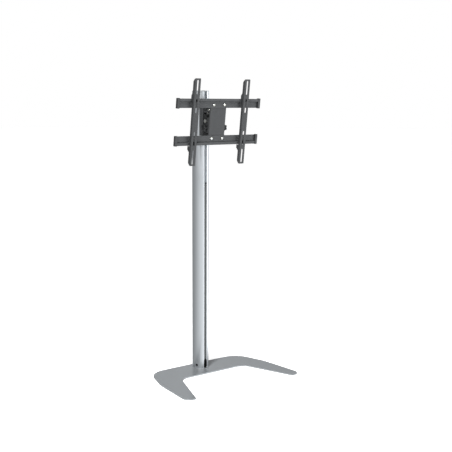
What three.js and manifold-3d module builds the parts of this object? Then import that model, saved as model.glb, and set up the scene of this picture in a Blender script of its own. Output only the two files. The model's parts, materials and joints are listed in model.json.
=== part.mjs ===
// Floor stand: a flat base plate with two forward legs, an oval extruded column with cable
// channels, and a height carriage that carries a swivelling and tilting frame with two hook-on arms.
// Millimetres, +Z up, the front faces -Y. The origin is on the floor, under the middle of the base.

import * as THREE from 'three';
import { mergeVertices } from 'three/addons/utils/BufferGeometryUtils.js';
import Module from 'manifold-3d';

const wasm = await Module();
wasm.setup();

// Clearances and cutting allowances
const slipFit = 0.3;
const threadFit = 0.2;
const runGap = 0.2;
const seatGap = 0.3;
const overrun = 2;
const mergeDistance = 0.0001;

// Fineness of round stretches, as counts and angles
const roundSides = 16;
const largeSides = 28;
const hexSides = 6;
const columnSides = 64;
const filletStep = Math.PI / 14;
const smallFilletStep = Math.PI / 7;
const smallFilletRadius = 20;

// Base plate: half widths from the middle, places forward of the column's axis
const plateThickness = 6;
const plateChamfer = 0.8;
const rearReach = 56;
const frontReach = 397;
const tipOuterHalfWidth = 355.5;
const tipOuterRadius = 40;
const tipWidth = 54.5;
const tipInnerRadius = 8.5;
const rearInset = 79.5;
const rearCornerRadius = 104;
const flankInset = 22.5;
const flankForward = 128;
const flankRadius = 273;
const crotchInset = 156.5;
const crotchForward = 114;
const crotchRadius = 65;

// Foot pads under the plate
const padThickness = 3;
const padRadius = 15;
const padChamfer = 0.5;
const tipPadEndInset = 34;
const tipPadSideInset = 35.5;
const flankPadInset = 52;
const rearPadEndInset = 32;
const rearPadSideInset = 64;

// Foot block and the bolts that hold it to the plate
const footBlockHeight = 42;
const baseBoltRadius = 4;
const baseBoltHeadRadius = 7.8;
const baseBoltLength = 24;
const baseBoltSink = 0.3;
const baseBoltHalfSpacingX = 16;
const baseBoltHalfSpacingY = 14;
const baseBoltSocketRadius = 2.9;
const baseBoltSocketDepth = 3;
const boreTail = 2;

// Set screws through the column's flanks
const setScrewRadius = 4;
const setScrewLength = 11;
const setScrewHeight = 16.5;
const setScrewSink = 0.6;
const setScrewSocketRadius = 2.3;
const setScrewSocketDepth = 3.5;
const setScrewAngle = 66 * Math.PI / 180;

// Column: an oval extrusion with a slotted channel in front and behind
const columnHeight = 1436;
const columnWidth = 80;
const columnDepth = 94;
const columnWall = 2.6;
const slotOpening = 15;
const lipDepth = 6;
const channelWidth = 28;
const channelDepth = 15;
const channelWall = 2;
const portRadius = 5;
const portOffset = 33.5;

// Cover strips that clip into the slots
const stripRecess = 0.4;
const stripSkin = 2.5;
const stripLeg = 1.8;
const barbReach = 2;
const barbHeight = 1.5;
const barbTaper = 2.7;
const frontStripDrop = 465;

// Cable outlet, milled through the front slot's lips, and the liner behind it
const outletWidth = 19;
const outletLength = 47;
const outletRise = 3;
const linerWall = 1.5;

// Cap on the column's top
const capEdge = 3;
const capCrown = 2;
const capRound = 2;
const capPlugDepth = 9;
const capPlugWall = 2.2;
const capScrewRadius = 2;
const capScrewHeadRadius = 4;
const capScrewLength = 22;
const capScrewSlotWidth = 1.2;
const capScrewSlotDepth = 1;

// Height carriage: a saddle with a key in the slot and two lugs
const mountDrop = 145;
const saddleWidth = 60;
const saddleHeight = 150;
const saddleThickness = 13;
const saddleRound = 6;
const saddleFit = 0.4;
const saddleWrap = 20;
const keyDepth = 5;
const lugThickness = 10;
const lugSpacing = 80;
const lugRootWidth = 48;
const lugRadius = 16;

// Clamp screws and the nuts inside the channel
const clampScrewRadius = 4;
const clampHeadRadius = 6.5;
const clampHeadHeight = 8;
const clampSocketRadius = 3.4;
const clampSocketDepth = 4;
const clampInset = 11;
const slotNutWidth = 25;
const slotNutHeight = 24;
const slotNutThickness = 8;
const slotNutChamfer = 1;

// Swivel: a vertical pin through the lugs and the barrel of the head
const swivelPinRadius = 6;
const pinHeadRadius = 10;
const pinHeadHeight = 5;
const pinNutRadius = 10.9;
const pinNutHeight = 10;
const pinTail = 3;
const washerRadius = 15;
const washerThickness = 1.2;

// Swivel head, with places forward of the swivel pin
const barrelRadius = 16;
const barrelClearance = 2;
const webWidth = 22;
const headPlateBack = 19;
const headPlateThickness = 5;
const headPlateTop = 30;
const headPlateDrop = 12;
const cheekSpan = 88;
const cheekThickness = 4;
const cheekRound = 8;
const tiltForward = 40;
const noseRadius = 14;
const lobeRadius = 10;

// Tilt pivot and lock
const axleRadius = 5;
const axleHeadRadius = 9.8;
const axleHeadHeight = 6.4;
const axleNutHeight = 8;
const bushWall = 2;
const bushFlangeRadius = 11;
const bushFlangeThickness = 1.5;
const lockRadius = 34;
const lockBoltRadius = 4;
const lockBoltHeadRadius = 8;
const lockBoltHeadHeight = 3.6;
const lockSlotFit = 0.4;
const restTilt = 7 * Math.PI / 180;
const forwardTilt = 15 * Math.PI / 180;
const backwardTilt = -5 * Math.PI / 180;
const slotMargin = 1.2 * Math.PI / 180;

// Star knobs
const knobHubRadius = 9;
const knobHubHeight = 6;
const knobMeanRadius = 15;
const knobLobeHeight = 2.2;
const knobLobes = 5;
const knobSides = 50;
const knobHeight = 13;
const knobChamfer = 1.5;
const knobCapWall = 5;

// Tilt plate, with places forward of the tilt axle
const tiltPlateBack = 24;
const tiltPlateThickness = 4;
const tiltPlateMargin = 2;
const tiltPlateRound = 8;
const flangeRise = 4;

// Hook rails
const railLength = 500;
const railGauge = 3;
const railHalfSpacing = 88;
const railWebInner = 20;
const railWebOuter = 10;
const railJoggle = 7;
const railLip = 16;
const railBoltHalfSpacing = 32;
const railBoltRadius = 4;
const railBoltHeadRadius = 7;
const railBoltHeadHeight = 4.2;
const railBoltTail = 4;
const railBoltSocketRadius = 2.9;
const railBoltSocketDepth = 2.4;
const railBoltInner = 5;
const railCapLength = 14;
const railCapWall = 1.5;
const railCapRound = 1.2;

// Arms: folded channels with a hook, slots and a lower tab
const armOffset = 150;
const armWidth = 36;
const armGauge = 2.5;
const armDepth = 13.5;
const armEndMargin = 12;
const armRound = 6;
const armShoulder = 15;
const outerHoleSpacing = 400;
const innerHoleSpacing = 100;
const armSlotLength = 68;
const armSlotWidth = 8.5;
const lipClearance = 0.7;
const hookTip = 4.8;
const hookDrop = 11;
const hookTop = 15;
const hookSlope = 12;
const tabThickness = 4;
const tabDrop = 10;
const tabReach = 6;
const lobeClearance = 3;

// Safety screws under the lower rail
const safetyRadius = 3;
const safetyHeadRadius = 6.4;
const safetyHeadHeight = 8;
const safetyReach = 11;
const safetyClearance = 1.5;
const safetySides = 20;
const safetyTip = 1;

// Finishes
const platePaint = { color: 0x9ea2a5, roughness: 0.42, metalness: 0.55, flatShading: true };
const anodised = { color: 0xb4b8ba, roughness: 0.36, metalness: 0.85, flatShading: true };
const stripPlastic = { color: 0x66696b, roughness: 0.5, metalness: 0, flatShading: true };
const capPlastic = { color: 0x8d9193, roughness: 0.45, metalness: 0, flatShading: true };
const blackPaint = { color: 0x232425, roughness: 0.5, metalness: 0.3, flatShading: true };
const blackPlastic = { color: 0x1c1c1d, roughness: 0.55, metalness: 0, flatShading: true };
const padRubber = { color: 0x2a2a2a, roughness: 0.9, metalness: 0, flatShading: true };
const zincSteel = { color: 0xa9abad, roughness: 0.35, metalness: 1, flatShading: true };
const blackSteel = { color: 0x303234, roughness: 0.4, metalness: 1, flatShading: true };
const whiteNylon = { color: 0xdedcd4, roughness: 0.6, metalness: 0, flatShading: true };

// Places that several pieces share
const RIGHT = new THREE.Vector3(1, 0, 0);
const LEFT = new THREE.Vector3(-1, 0, 0);
const FORWARD = new THREE.Vector3(0, -1, 0);
const UP = new THREE.Vector3(0, 0, 1);
const plateTop = padThickness + plateThickness;
const tipInnerHalfWidth = tipOuterHalfWidth - tipWidth;
const rearHalfWidth = tipOuterHalfWidth - rearInset;
const flankHalfWidth = tipOuterHalfWidth - flankInset;
const crotchHalfWidth = tipOuterHalfWidth - crotchInset;
const columnAxisY = (frontReach - rearReach) / 2;
const columnTop = plateTop + columnHeight;
const mountHeight = columnTop - mountDrop;
const halfWidth = columnWidth / 2;
const halfDepth = columnDepth / 2;
const lipInner = halfDepth - lipDepth;
const channelBack = lipInner - channelDepth;
const outletTop = plateTop + outletRise + outletLength;
const lipEdge = halfDepth * Math.sqrt(1 - (slotOpening / columnWidth) ** 2);
const saddleFront = halfDepth + saddleThickness;
const clampHalfSpacing = saddleHeight / 2 - clampInset;
const swivelForward = saddleFront + barrelRadius + barrelClearance;
const washerInner = lugSpacing / 2 - runGap - washerThickness;
const barrelHalfHeight = washerInner - runGap;
const cheekOuter = cheekSpan / 2;
const cheekInner = cheekOuter - cheekThickness;
const flangeInner = cheekOuter + runGap + bushFlangeThickness + runGap;
const flangeOuter = flangeInner + tiltPlateThickness;
const flangeTop = noseRadius + flangeRise;
const flangeBottom = -lockRadius - noseRadius;
const headPlateBottom = -lockRadius - lobeRadius - headPlateDrop;
const tiltPlateFront = tiltPlateBack + tiltPlateThickness;
const railBack = tiltPlateFront + seatGap;
const lipFront = railBack + railJoggle + railGauge;
const lipEnd = railHalfSpacing + railWebOuter + railLip;
const tiltPlateHalfHeight = railHalfSpacing + railWebOuter + tiltPlateMargin;
const armHalfHeight = outerHoleSpacing / 2 + armEndMargin;
const armBack = lipFront + lipClearance;
const armFront = armBack + armDepth;
const armWebBack = armFront - armGauge;
const hookBack = railBack + railJoggle - lipClearance - hookTip;
const tabTop = -lipEnd - tabDrop;
const safetyForward = railBack + railJoggle - safetyClearance - safetyRadius;

// Outline helpers

function circle(x, y, radius, sides = roundSides) {
  const points = [];
  for (let i = 0; i < sides; i += 1) {
    const angle = (2 * Math.PI * i) / sides;
    points.push(new THREE.Vector2(x + radius * Math.cos(angle), y + radius * Math.sin(angle)));
  }
  return points;
}

function ellipse(halfX, halfY, sides = columnSides) {
  return circle(0, 0, 1, sides).map((point) => new THREE.Vector2(point.x * halfX, point.y * halfY));
}

function rectangle(left, right, low, high) {
  return [[left, low], [right, low], [right, high], [left, high]].map(([x, y]) => new THREE.Vector2(x, y));
}

// Points on a circle's arc, both ends included.
function arc(x, y, radius, from, to) {
  const step = radius < smallFilletRadius ? smallFilletStep : filletStep;
  const steps = Math.max(1, Math.ceil(Math.abs(to - from) / step));
  const points = [];
  for (let i = 0; i <= steps; i += 1) {
    const angle = from + ((to - from) * i) / steps;
    points.push(new THREE.Vector2(x + radius * Math.cos(angle), y + radius * Math.sin(angle)));
  }
  return points;
}

// A closed outline through corners [x, y, radius], each rounded by an arc tangent to its two sides.
function rounded(corners) {
  const points = [];
  corners.forEach(([x, y, radius = 0], index) => {
    const corner = new THREE.Vector2(x, y);
    if (radius === 0) {
      points.push(corner);
      return;
    }
    const [beforeX, beforeY] = corners.at(index - 1);
    const [afterX, afterY] = corners[(index + 1) % corners.length];
    const before = new THREE.Vector2(beforeX, beforeY).sub(corner).normalize();
    const after = new THREE.Vector2(afterX, afterY).sub(corner).normalize();
    const halfAngle = Math.acos(before.dot(after)) / 2;
    const middle = before.clone().add(after).normalize();
    const centre = corner.clone().addScaledVector(middle, radius / Math.sin(halfAngle));
    const start = corner.clone().addScaledVector(before, radius / Math.tan(halfAngle)).sub(centre);
    const end = corner.clone().addScaledVector(after, radius / Math.tan(halfAngle)).sub(centre);
    const from = start.angle();
    let sweep = end.angle() - from;
    if (sweep > Math.PI) sweep -= 2 * Math.PI;
    if (sweep < -Math.PI) sweep += 2 * Math.PI;
    points.push(...arc(centre.x, centre.y, radius, from, from + sweep));
  });
  return points;
}

// A straight slot with round ends, upright in its outline's plane.
function uprightSlot(x, y, width, length) {
  const radius = width / 2;
  const reach = length / 2 - radius;
  return [
    ...arc(x, y + reach, radius, 0, Math.PI),
    ...arc(x, y - reach, radius, Math.PI, 2 * Math.PI),
  ];
}

// Solid helpers

// Extrudes an outline whose own x and y run along two directions, square to both.
function extrude(outline, across, up, from, to, chamfer = 0) {
  const geometry = new THREE.ExtrudeGeometry(new THREE.Shape(outline), {
    depth: to - from - 2 * chamfer,
    bevelEnabled: chamfer > 0,
    bevelThickness: chamfer,
    bevelSize: chamfer,
    bevelOffset: -chamfer,
    bevelSegments: 1,
  });
  const along = new THREE.Vector3().crossVectors(across, up);
  const turn = new THREE.Matrix4().makeBasis(across, up, along);
  return geometry.translate(0, 0, from + chamfer).applyMatrix4(turn);
}

// An outline in [right, forward], between two heights.
function planPrism(outline, low, high, chamfer = 0) {
  return extrude(outline, RIGHT, FORWARD, -high, -low, chamfer);
}

// An outline in [forward, up], between two places along x.
function sidePrism(outline, left, right, chamfer = 0) {
  return extrude(outline, FORWARD, UP, -right, -left, chamfer);
}

// An outline in [right, up], between two places forward.
function frontPrism(outline, back, front, chamfer = 0) {
  return extrude(outline, RIGHT, UP, back, front, chamfer);
}

// A turned piece whose profile [radius, distance] runs from the axis back to the axis.
function turned(profile, direction, sides = roundSides) {
  const points = profile.map(([radius, distance]) => new THREE.Vector2(radius, distance));
  const geometry = new THREE.LatheGeometry(points, sides).rotateX(Math.PI / 2);
  const turn = new THREE.Quaternion().setFromUnitVectors(UP, direction);
  return geometry.applyQuaternion(turn);
}

function rod(radius, from, to, direction, sides = roundSides) {
  return turned([[0, from], [radius, from], [radius, to], [0, to]], direction, sides);
}

function toSolid(geometry) {
  const bare = new THREE.BufferGeometry();
  bare.setAttribute('position', geometry.getAttribute('position').clone());
  bare.setIndex(geometry.getIndex());
  const merged = mergeVertices(bare, mergeDistance);
  const corners = merged.getIndex().array;
  const kept = [];
  for (let i = 0; i < corners.length; i += 3) {
    const [a, b, c] = corners.slice(i, i + 3);
    if (a !== b && b !== c && c !== a) kept.push(a, b, c);
  }
  return new wasm.Manifold(new wasm.Mesh({
    numProp: 3,
    vertProperties: new Float32Array(merged.getAttribute('position').array),
    triVerts: new Uint32Array(kept),
  }));
}

function toGeometry(solid) {
  const mesh = solid.getMesh();
  const geometry = new THREE.BufferGeometry();
  geometry.setAttribute('position', new THREE.BufferAttribute(mesh.vertProperties, 3));
  geometry.setIndex(new THREE.BufferAttribute(mesh.triVerts, 1));
  return geometry;
}

function join(first, ...others) {
  return toGeometry(others.reduce((sum, other) => sum.add(toSolid(other)), toSolid(first)));
}

function cut(first, ...others) {
  return toGeometry(others.reduce((rest, other) => rest.subtract(toSolid(other)), toSolid(first)));
}

function common(first, second) {
  return toGeometry(toSolid(first).intersect(toSolid(second)));
}

function add(parent, name, geometry, finish, x = 0, forward = 0, up = 0) {
  const clean = toGeometry(toSolid(geometry));
  clean.computeVertexNormals();
  const mesh = new THREE.Mesh(clean, new THREE.MeshStandardMaterial(finish));
  mesh.name = name;
  mesh.position.set(x, -forward, up);
  parent.add(mesh);
  return mesh;
}

function group(parent, x, forward, up) {
  const child = new THREE.Group();
  child.position.set(x, -forward, up);
  parent.add(child);
  return child;
}

// Fasteners, each along +Z from its bearing face, with a six-sided socket in its head

// A countersunk screw: the head's flat face is at 0 and the shank runs up.
function countersunkScrew(radius, headRadius, length, socketRadius, socketDepth) {
  const cone = headRadius - radius;
  const body = turned([[0, 0], [headRadius, 0], [radius, cone], [radius, length], [0, length]], UP);
  return cut(body, rod(socketRadius, -overrun, socketDepth, UP, hexSides));
}

// The hole that a countersunk screw leaves, with its head sunk below the face at 0.
function countersunkHole(radius, headRadius, length, sink) {
  const cone = headRadius - radius;
  const wide = headRadius + slipFit;
  const narrow = radius + slipFit;
  return turned([
    [0, -overrun], [wide, -overrun], [wide, sink], [narrow, sink + cone], [narrow, length], [0, length],
  ], UP);
}

// A headed screw: the head stands above 0 and the shank runs down from it.
function headedScrew(radius, headRadius, headHeight, length, socketRadius, socketDepth, direction) {
  const edge = headHeight / 5;
  const body = turned([
    [0, -length], [radius, -length], [radius, 0], [headRadius, 0],
    [headRadius, headHeight - edge], [headRadius - edge, headHeight], [0, headHeight],
  ], direction);
  const socket = rod(socketRadius, headHeight - socketDepth, headHeight + overrun, direction, hexSides);
  return cut(body, socket);
}

// A hexagon nut or bolt head between two distances, with a bore where one is given.
function hexagon(radius, boreRadius, from, to, direction) {
  const block = rod(radius, from, to, direction, hexSides);
  if (boreRadius === 0) return block;
  return cut(block, rod(boreRadius, from - overrun, to + overrun, direction));
}

// Base

function baseOutline() {
  const half = [
    [rearHalfWidth, -rearReach, rearCornerRadius],
    [flankHalfWidth, flankForward, flankRadius],
    [tipOuterHalfWidth, frontReach, tipOuterRadius],
    [tipInnerHalfWidth, frontReach, tipInnerRadius],
    [crotchHalfWidth, crotchForward, crotchRadius],
  ];
  const mirrored = half.map(([x, forward, radius]) => [-x, forward, radius]).reverse();
  return rounded([...half, ...mirrored]);
}

function baseBoltPlaces() {
  const places = [];
  for (const x of [-baseBoltHalfSpacingX, baseBoltHalfSpacingX]) {
    for (const forward of [-baseBoltHalfSpacingY, baseBoltHalfSpacingY]) places.push([x, forward]);
  }
  return places;
}

function basePlate() {
  const plate = planPrism(baseOutline(), padThickness, plateTop, plateChamfer);
  const holes = baseBoltPlaces().map(([x, forward]) => countersunkHole(
    baseBoltRadius, baseBoltHeadRadius, plateThickness + overrun, baseBoltSink,
  ).translate(x, -forward, padThickness));
  return cut(plate, ...holes);
}

function footPad() {
  return planPrism(circle(0, 0, padRadius, largeSides), 0, padThickness, padChamfer);
}

function padPlaces() {
  const places = [];
  for (const side of [-1, 1]) {
    places.push([side * (rearHalfWidth - rearPadSideInset), rearPadEndInset - rearReach]);
    places.push([side * (flankHalfWidth - flankPadInset), flankForward]);
    places.push([side * (tipOuterHalfWidth - tipPadSideInset), frontReach - tipPadEndInset]);
  }
  return places;
}

// The part of the column's hollow between its two channels, drawn in by an inset.
function ductBlock(inset, low, high) {
  const oval = ellipse(halfWidth - columnWall - inset, halfDepth - columnWall - inset);
  const flat = channelBack - channelWall - inset;
  const band = rectangle(-columnWidth, columnWidth, -flat, flat);
  return common(planPrism(oval, low, high), planPrism(band, low - overrun, high + overrun));
}

function portPost(radius, side, low, high) {
  return planPrism(circle(side * portOffset, 0, radius), low, high);
}

// Outward direction of a set screw, and the point of the column's skin that it leaves.
function setScrewAxis(side) {
  const sine = Math.sin(setScrewAngle);
  const cosine = Math.cos(setScrewAngle);
  const skin = new THREE.Vector3(side * halfWidth * sine, -halfDepth * cosine, setScrewHeight);
  const outward = new THREE.Vector3((side * sine) / halfWidth, -cosine / halfDepth, 0).normalize();
  return { skin, outward };
}

function setScrewRod(radius, from, to, side, sides = roundSides) {
  const { skin, outward } = setScrewAxis(side);
  return rod(radius, from, to, outward, sides).translate(skin.x, skin.y, skin.z + plateTop);
}

function setScrew(side) {
  const outer = -setScrewSink;
  const body = setScrewRod(setScrewRadius, outer - setScrewLength, outer, side);
  return cut(body, setScrewRod(setScrewSocketRadius, outer - setScrewSocketDepth, overrun, side, hexSides));
}

function footBlock() {
  const top = plateTop + footBlockHeight;
  const boltTop = padThickness + baseBoltSink + baseBoltLength + boreTail;
  const block = ductBlock(slipFit, plateTop, top);
  const tools = [];
  for (const [x, forward] of baseBoltPlaces()) {
    const bore = circle(x, forward, baseBoltRadius + threadFit);
    tools.push(planPrism(bore, plateTop - overrun, boltTop));
  }
  for (const side of [-1, 1]) {
    tools.push(portPost(portRadius + slipFit, side, plateTop - overrun, top + overrun));
    const depth = setScrewSink + setScrewLength + boreTail;
    tools.push(setScrewRod(setScrewRadius + threadFit, -depth, overrun, side));
  }
  return cut(block, ...tools);
}

// Column

// The slotted channel's free space in front, or behind when side is -1.
function channelSpace(side, low, high) {
  const wide = rectangle(-channelWidth / 2, channelWidth / 2, channelBack, lipInner);
  const neck = rectangle(-slotOpening / 2, slotOpening / 2, lipInner - overrun, halfDepth + overrun);
  const space = join(planPrism(wide, low, high), planPrism(neck, low, high));
  return side > 0 ? space : space.rotateZ(Math.PI);
}

function column() {
  const low = plateTop - overrun;
  const high = columnTop + overrun;
  const skin = planPrism(ellipse(halfWidth, halfDepth), plateTop, columnTop);
  const hollow = planPrism(ellipse(halfWidth - columnWall, halfDepth - columnWall), low, high);
  const reach = channelBack - channelWall;
  const wallOuter = channelWidth / 2 + channelWall;
  const frontWalls = planPrism(rectangle(-wallOuter, wallOuter, reach, halfDepth), low, high);
  const rearWalls = planPrism(rectangle(-wallOuter, wallOuter, -halfDepth, -reach), low, high);
  const posts = [-1, 1].map((side) => portPost(portRadius, side, low, high));
  const bores = [-1, 1].map((side) => portPost(capScrewRadius + slipFit, side, low, high));
  const duct = cut(hollow, frontWalls, rearWalls, ...posts);
  const screwHoles = [-1, 1].map((side) => (
    setScrewRod(setScrewRadius + slipFit, -columnWall - overrun, overrun, side)
  ));
  const channels = [-1, 1].map((side) => channelSpace(side, low, high));
  const outlet = frontPrism(
    uprightSlot(0, outletTop - outletLength / 2, outletWidth, outletLength),
    lipInner - overrun, halfDepth + overrun,
  );
  return cut(skin, duct, ...channels, outlet, ...bores, ...screwHoles);
}

// A strip's section, in [right, forward]: a skin in the slot's mouth and two barbed legs behind it.
function coverStrip(low, high) {
  const half = slotOpening / 2 - slipFit;
  const front = lipEdge - stripRecess;
  const barb = lipInner - slipFit;
  const tip = barb - barbHeight - barbTaper;
  const inner = half - stripLeg;
  const right = [
    [half, front], [half, barb], [half + barbReach, barb], [half + barbReach, barb - barbHeight],
    [half - slipFit, tip], [inner, tip], [inner, front - stripSkin],
  ];
  const left = right.map(([x, forward]) => [-x, forward]).reverse();
  const outline = [...right, ...left].map(([x, forward]) => new THREE.Vector2(x, forward));
  return planPrism(outline, low, high);
}

function frontCoverStrip() {
  return coverStrip(outletTop, columnTop - frontStripDrop);
}

function rearCoverStrip() {
  return coverStrip(plateTop + seatGap, columnTop - seatGap).rotateZ(Math.PI);
}

// A moulded cup in the channel behind the outlet, open to the front and at the top.
function outletLiner() {
  const half = channelWidth / 2 - slipFit;
  const back = channelBack + slipFit;
  const low = plateTop + seatGap;
  const cup = planPrism(rectangle(-half, half, back, lipInner - slipFit), low, outletTop);
  const inside = rectangle(linerWall - half, half - linerWall, back + linerWall, halfDepth);
  return cut(cup, planPrism(inside, low + linerWall, outletTop + overrun));
}

function columnCap() {
  const lid = turned([
    [0, 0], [halfWidth, 0], [halfWidth, capEdge - capRound / 2],
    [halfWidth - capRound, capEdge], [0, capEdge + capCrown],
  ], UP, columnSides).scale(1, columnDepth / columnWidth, 1).translate(0, 0, columnTop);
  const plug = ductBlock(slipFit, columnTop - capPlugDepth, columnTop + capEdge / 2);
  const hollow = ductBlock(slipFit + capPlugWall, columnTop - capPlugDepth - overrun, columnTop);
  const tools = [];
  for (const side of [-1, 1]) {
    const clear = portPost(portRadius + slipFit, side, columnTop - capPlugDepth - overrun, columnTop);
    const depth = capEdge + capPlugDepth;
    const hole = countersunkHole(capScrewRadius, capScrewHeadRadius, depth, 0)
      .rotateX(Math.PI).translate(side * portOffset, 0, columnTop + capEdge);
    tools.push(clear, hole);
  }
  return cut(join(lid, cut(plug, hollow)), ...tools);
}

function capScrew() {
  const cone = capScrewHeadRadius - capScrewRadius;
  const body = turned([
    [0, -capScrewLength], [capScrewRadius, -capScrewLength], [capScrewRadius, -cone],
    [capScrewHeadRadius, 0], [0, 0],
  ], UP);
  const reach = capScrewHeadRadius + overrun;
  const driver = rectangle(-reach, reach, -capScrewSlotWidth / 2, capScrewSlotWidth / 2);
  return cut(body, planPrism(driver, -capScrewSlotDepth, overrun));
}

// Height carriage, with heights from the middle of the mount

function lug(low, high) {
  const front = swivelForward + lugRadius;
  return planPrism(rounded([
    [-lugRootWidth / 2, saddleFront - overrun], [lugRootWidth / 2, saddleFront - overrun],
    [lugRadius, front, lugRadius], [-lugRadius, front, lugRadius],
  ]), low, high);
}

function carriage() {
  const half = saddleHeight / 2;
  const side = saddleWidth / 2;
  const inner = lugSpacing / 2;
  const block = planPrism(rounded([
    [-side, saddleWrap], [side, saddleWrap],
    [side, saddleFront, saddleRound], [-side, saddleFront, saddleRound],
  ]), -half, half);
  const oval = ellipse(halfWidth + saddleFit, halfDepth + saddleFit);
  const saddle = cut(block, planPrism(oval, -half - overrun, half + overrun));
  const keyHalf = slotOpening / 2 - slipFit;
  const key = planPrism(rectangle(-keyHalf, keyHalf, lipEdge - keyDepth, halfDepth + overrun), -half, half);
  const body = join(saddle, key, lug(inner, inner + lugThickness), lug(-inner - lugThickness, -inner));
  const pinBore = rod(swivelPinRadius + slipFit, -half, half, UP).translate(0, -swivelForward, 0);
  const tools = [pinBore];
  for (const up of [-clampHalfSpacing, clampHalfSpacing]) {
    const shank = circle(0, up, clampScrewRadius + slipFit);
    const head = circle(0, up, clampHeadRadius + slipFit);
    tools.push(frontPrism(shank, lipInner - overrun, saddleFront + overrun));
    tools.push(frontPrism(head, saddleFront - clampHeadHeight - seatGap, saddleFront + overrun));
  }
  return cut(body, ...tools);
}

function slotNut() {
  const front = lipInner - slipFit;
  const half = slotNutWidth / 2;
  const outline = rectangle(-half, half, -slotNutHeight / 2, slotNutHeight / 2);
  const block = frontPrism(outline, front - slotNutThickness, front, slotNutChamfer);
  const bore = circle(0, 0, clampScrewRadius + threadFit);
  return cut(block, frontPrism(bore, front - slotNutThickness - overrun, front + overrun));
}

function clampScrew() {
  const seat = saddleFront - clampHeadHeight;
  const length = seat - (lipInner - slipFit - slotNutThickness);
  return headedScrew(
    clampScrewRadius, clampHeadRadius, clampHeadHeight, length, clampSocketRadius, clampSocketDepth, FORWARD,
  ).translate(0, -seat, 0);
}

function swivelPin() {
  const top = lugSpacing / 2 + lugThickness + seatGap;
  const bottom = -top - pinNutHeight - pinTail;
  const edge = pinHeadHeight / 5;
  return turned([
    [0, bottom], [swivelPinRadius, bottom], [swivelPinRadius, top], [pinHeadRadius, top],
    [pinHeadRadius, top + pinHeadHeight - edge], [pinHeadRadius - edge, top + pinHeadHeight],
    [0, top + pinHeadHeight],
  ], UP);
}

function swivelNut() {
  const top = -lugSpacing / 2 - lugThickness - seatGap;
  return hexagon(pinNutRadius, swivelPinRadius + threadFit, top - pinNutHeight, top, UP);
}

function swivelWasher() {
  const ring = rod(washerRadius, 0, washerThickness, UP, largeSides);
  return cut(ring, rod(swivelPinRadius + slipFit, -overrun, washerThickness + overrun, UP));
}

// Swivel head, with places forward of the swivel pin

function cheek(left, right) {
  const lockFront = tiltForward + lobeRadius;
  return sidePrism(rounded([
    [headPlateBack, headPlateTop],
    [headPlateBack + headPlateThickness + cheekRound, headPlateTop, cheekRound],
    [tiltForward + noseRadius, noseRadius, noseRadius],
    [lockFront, -lockRadius - lobeRadius, lobeRadius],
    [headPlateBack, headPlateBottom],
  ]), left, right);
}

function swivelHead() {
  const barrel = rod(barrelRadius, -barrelHalfHeight, barrelHalfHeight, UP, largeSides);
  const webOutline = rectangle(-webWidth / 2, webWidth / 2, 0, headPlateBack + overrun);
  const web = planPrism(webOutline, -barrelHalfHeight, barrelHalfHeight);
  const plateOutline = rectangle(-cheekOuter, cheekOuter, headPlateBottom, headPlateTop);
  const plate = frontPrism(plateOutline, headPlateBack, headPlateBack + headPlateThickness);
  const body = join(barrel, web, plate, cheek(-cheekOuter, -cheekInner), cheek(cheekInner, cheekOuter));
  const bushBore = circle(tiltForward, 0, axleRadius + slipFit + bushWall + slipFit);
  const lockBore = circle(tiltForward, -lockRadius, lockBoltRadius + slipFit);
  return cut(
    body,
    rod(swivelPinRadius + slipFit, -lugSpacing, lugSpacing, UP),
    sidePrism(bushBore, -cheekSpan, cheekSpan),
    sidePrism(lockBore, -cheekSpan, cheekSpan),
  );
}

// A flanged bush for the right cheek: the sleeve fills the cheek and the flange lies outside it.
function tiltBush() {
  const bore = axleRadius + slipFit;
  const sleeve = rod(bore + bushWall, cheekInner, cheekOuter + runGap, RIGHT);
  const flange = rod(bushFlangeRadius, cheekOuter + runGap, flangeInner - runGap, RIGHT);
  return cut(join(sleeve, flange), rod(bore, 0, cheekSpan, RIGHT));
}

function tiltAxle() {
  const seat = flangeOuter + seatGap;
  const shank = rod(axleRadius, -seat, seat + axleNutHeight + overrun, RIGHT);
  return join(shank, hexagon(axleHeadRadius, 0, -seat - axleHeadHeight, -seat, RIGHT));
}

function tiltAxleNut() {
  const seat = flangeOuter + seatGap;
  return hexagon(axleHeadRadius, axleRadius + threadFit, seat, seat + axleNutHeight, RIGHT);
}

function lockBolt(direction) {
  const seat = cheekInner - seatGap;
  const end = flangeOuter + seatGap + knobHubHeight + knobHeight - knobCapWall;
  const dome = seat - lockBoltHeadHeight;
  return turned([
    [0, dome], [lockBoltHeadRadius / 2, dome + lockBoltHeadHeight / 4],
    [lockBoltHeadRadius, seat - lockBoltHeadHeight / 4], [lockBoltHeadRadius, seat],
    [lockBoltRadius, seat], [lockBoltRadius, end], [0, end],
  ], direction);
}

// A star knob along +X: a round hub, then a body whose radius waves around its lobes.
function starKnob(side) {
  const outline = circle(0, 0, 1, knobSides).map((point) => {
    const radius = knobMeanRadius + knobLobeHeight * Math.cos(knobLobes * point.angle());
    return point.multiplyScalar(radius);
  });
  const foot = flangeOuter + seatGap;
  const shoulder = foot + knobHubHeight;
  const top = shoulder + knobHeight;
  const direction = side > 0 ? RIGHT : LEFT;
  const star = side > 0
    ? sidePrism(outline, shoulder, top, knobChamfer)
    : sidePrism(outline, -top, -shoulder, knobChamfer);
  const hub = rod(knobHubRadius, foot, shoulder + knobChamfer, direction);
  const bore = rod(lockBoltRadius + threadFit, 0, top - knobCapWall + threadFit, direction);
  return cut(join(star, hub), bore);
}

// Tilt frame, with places forward of the tilt axle and turned with it

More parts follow.
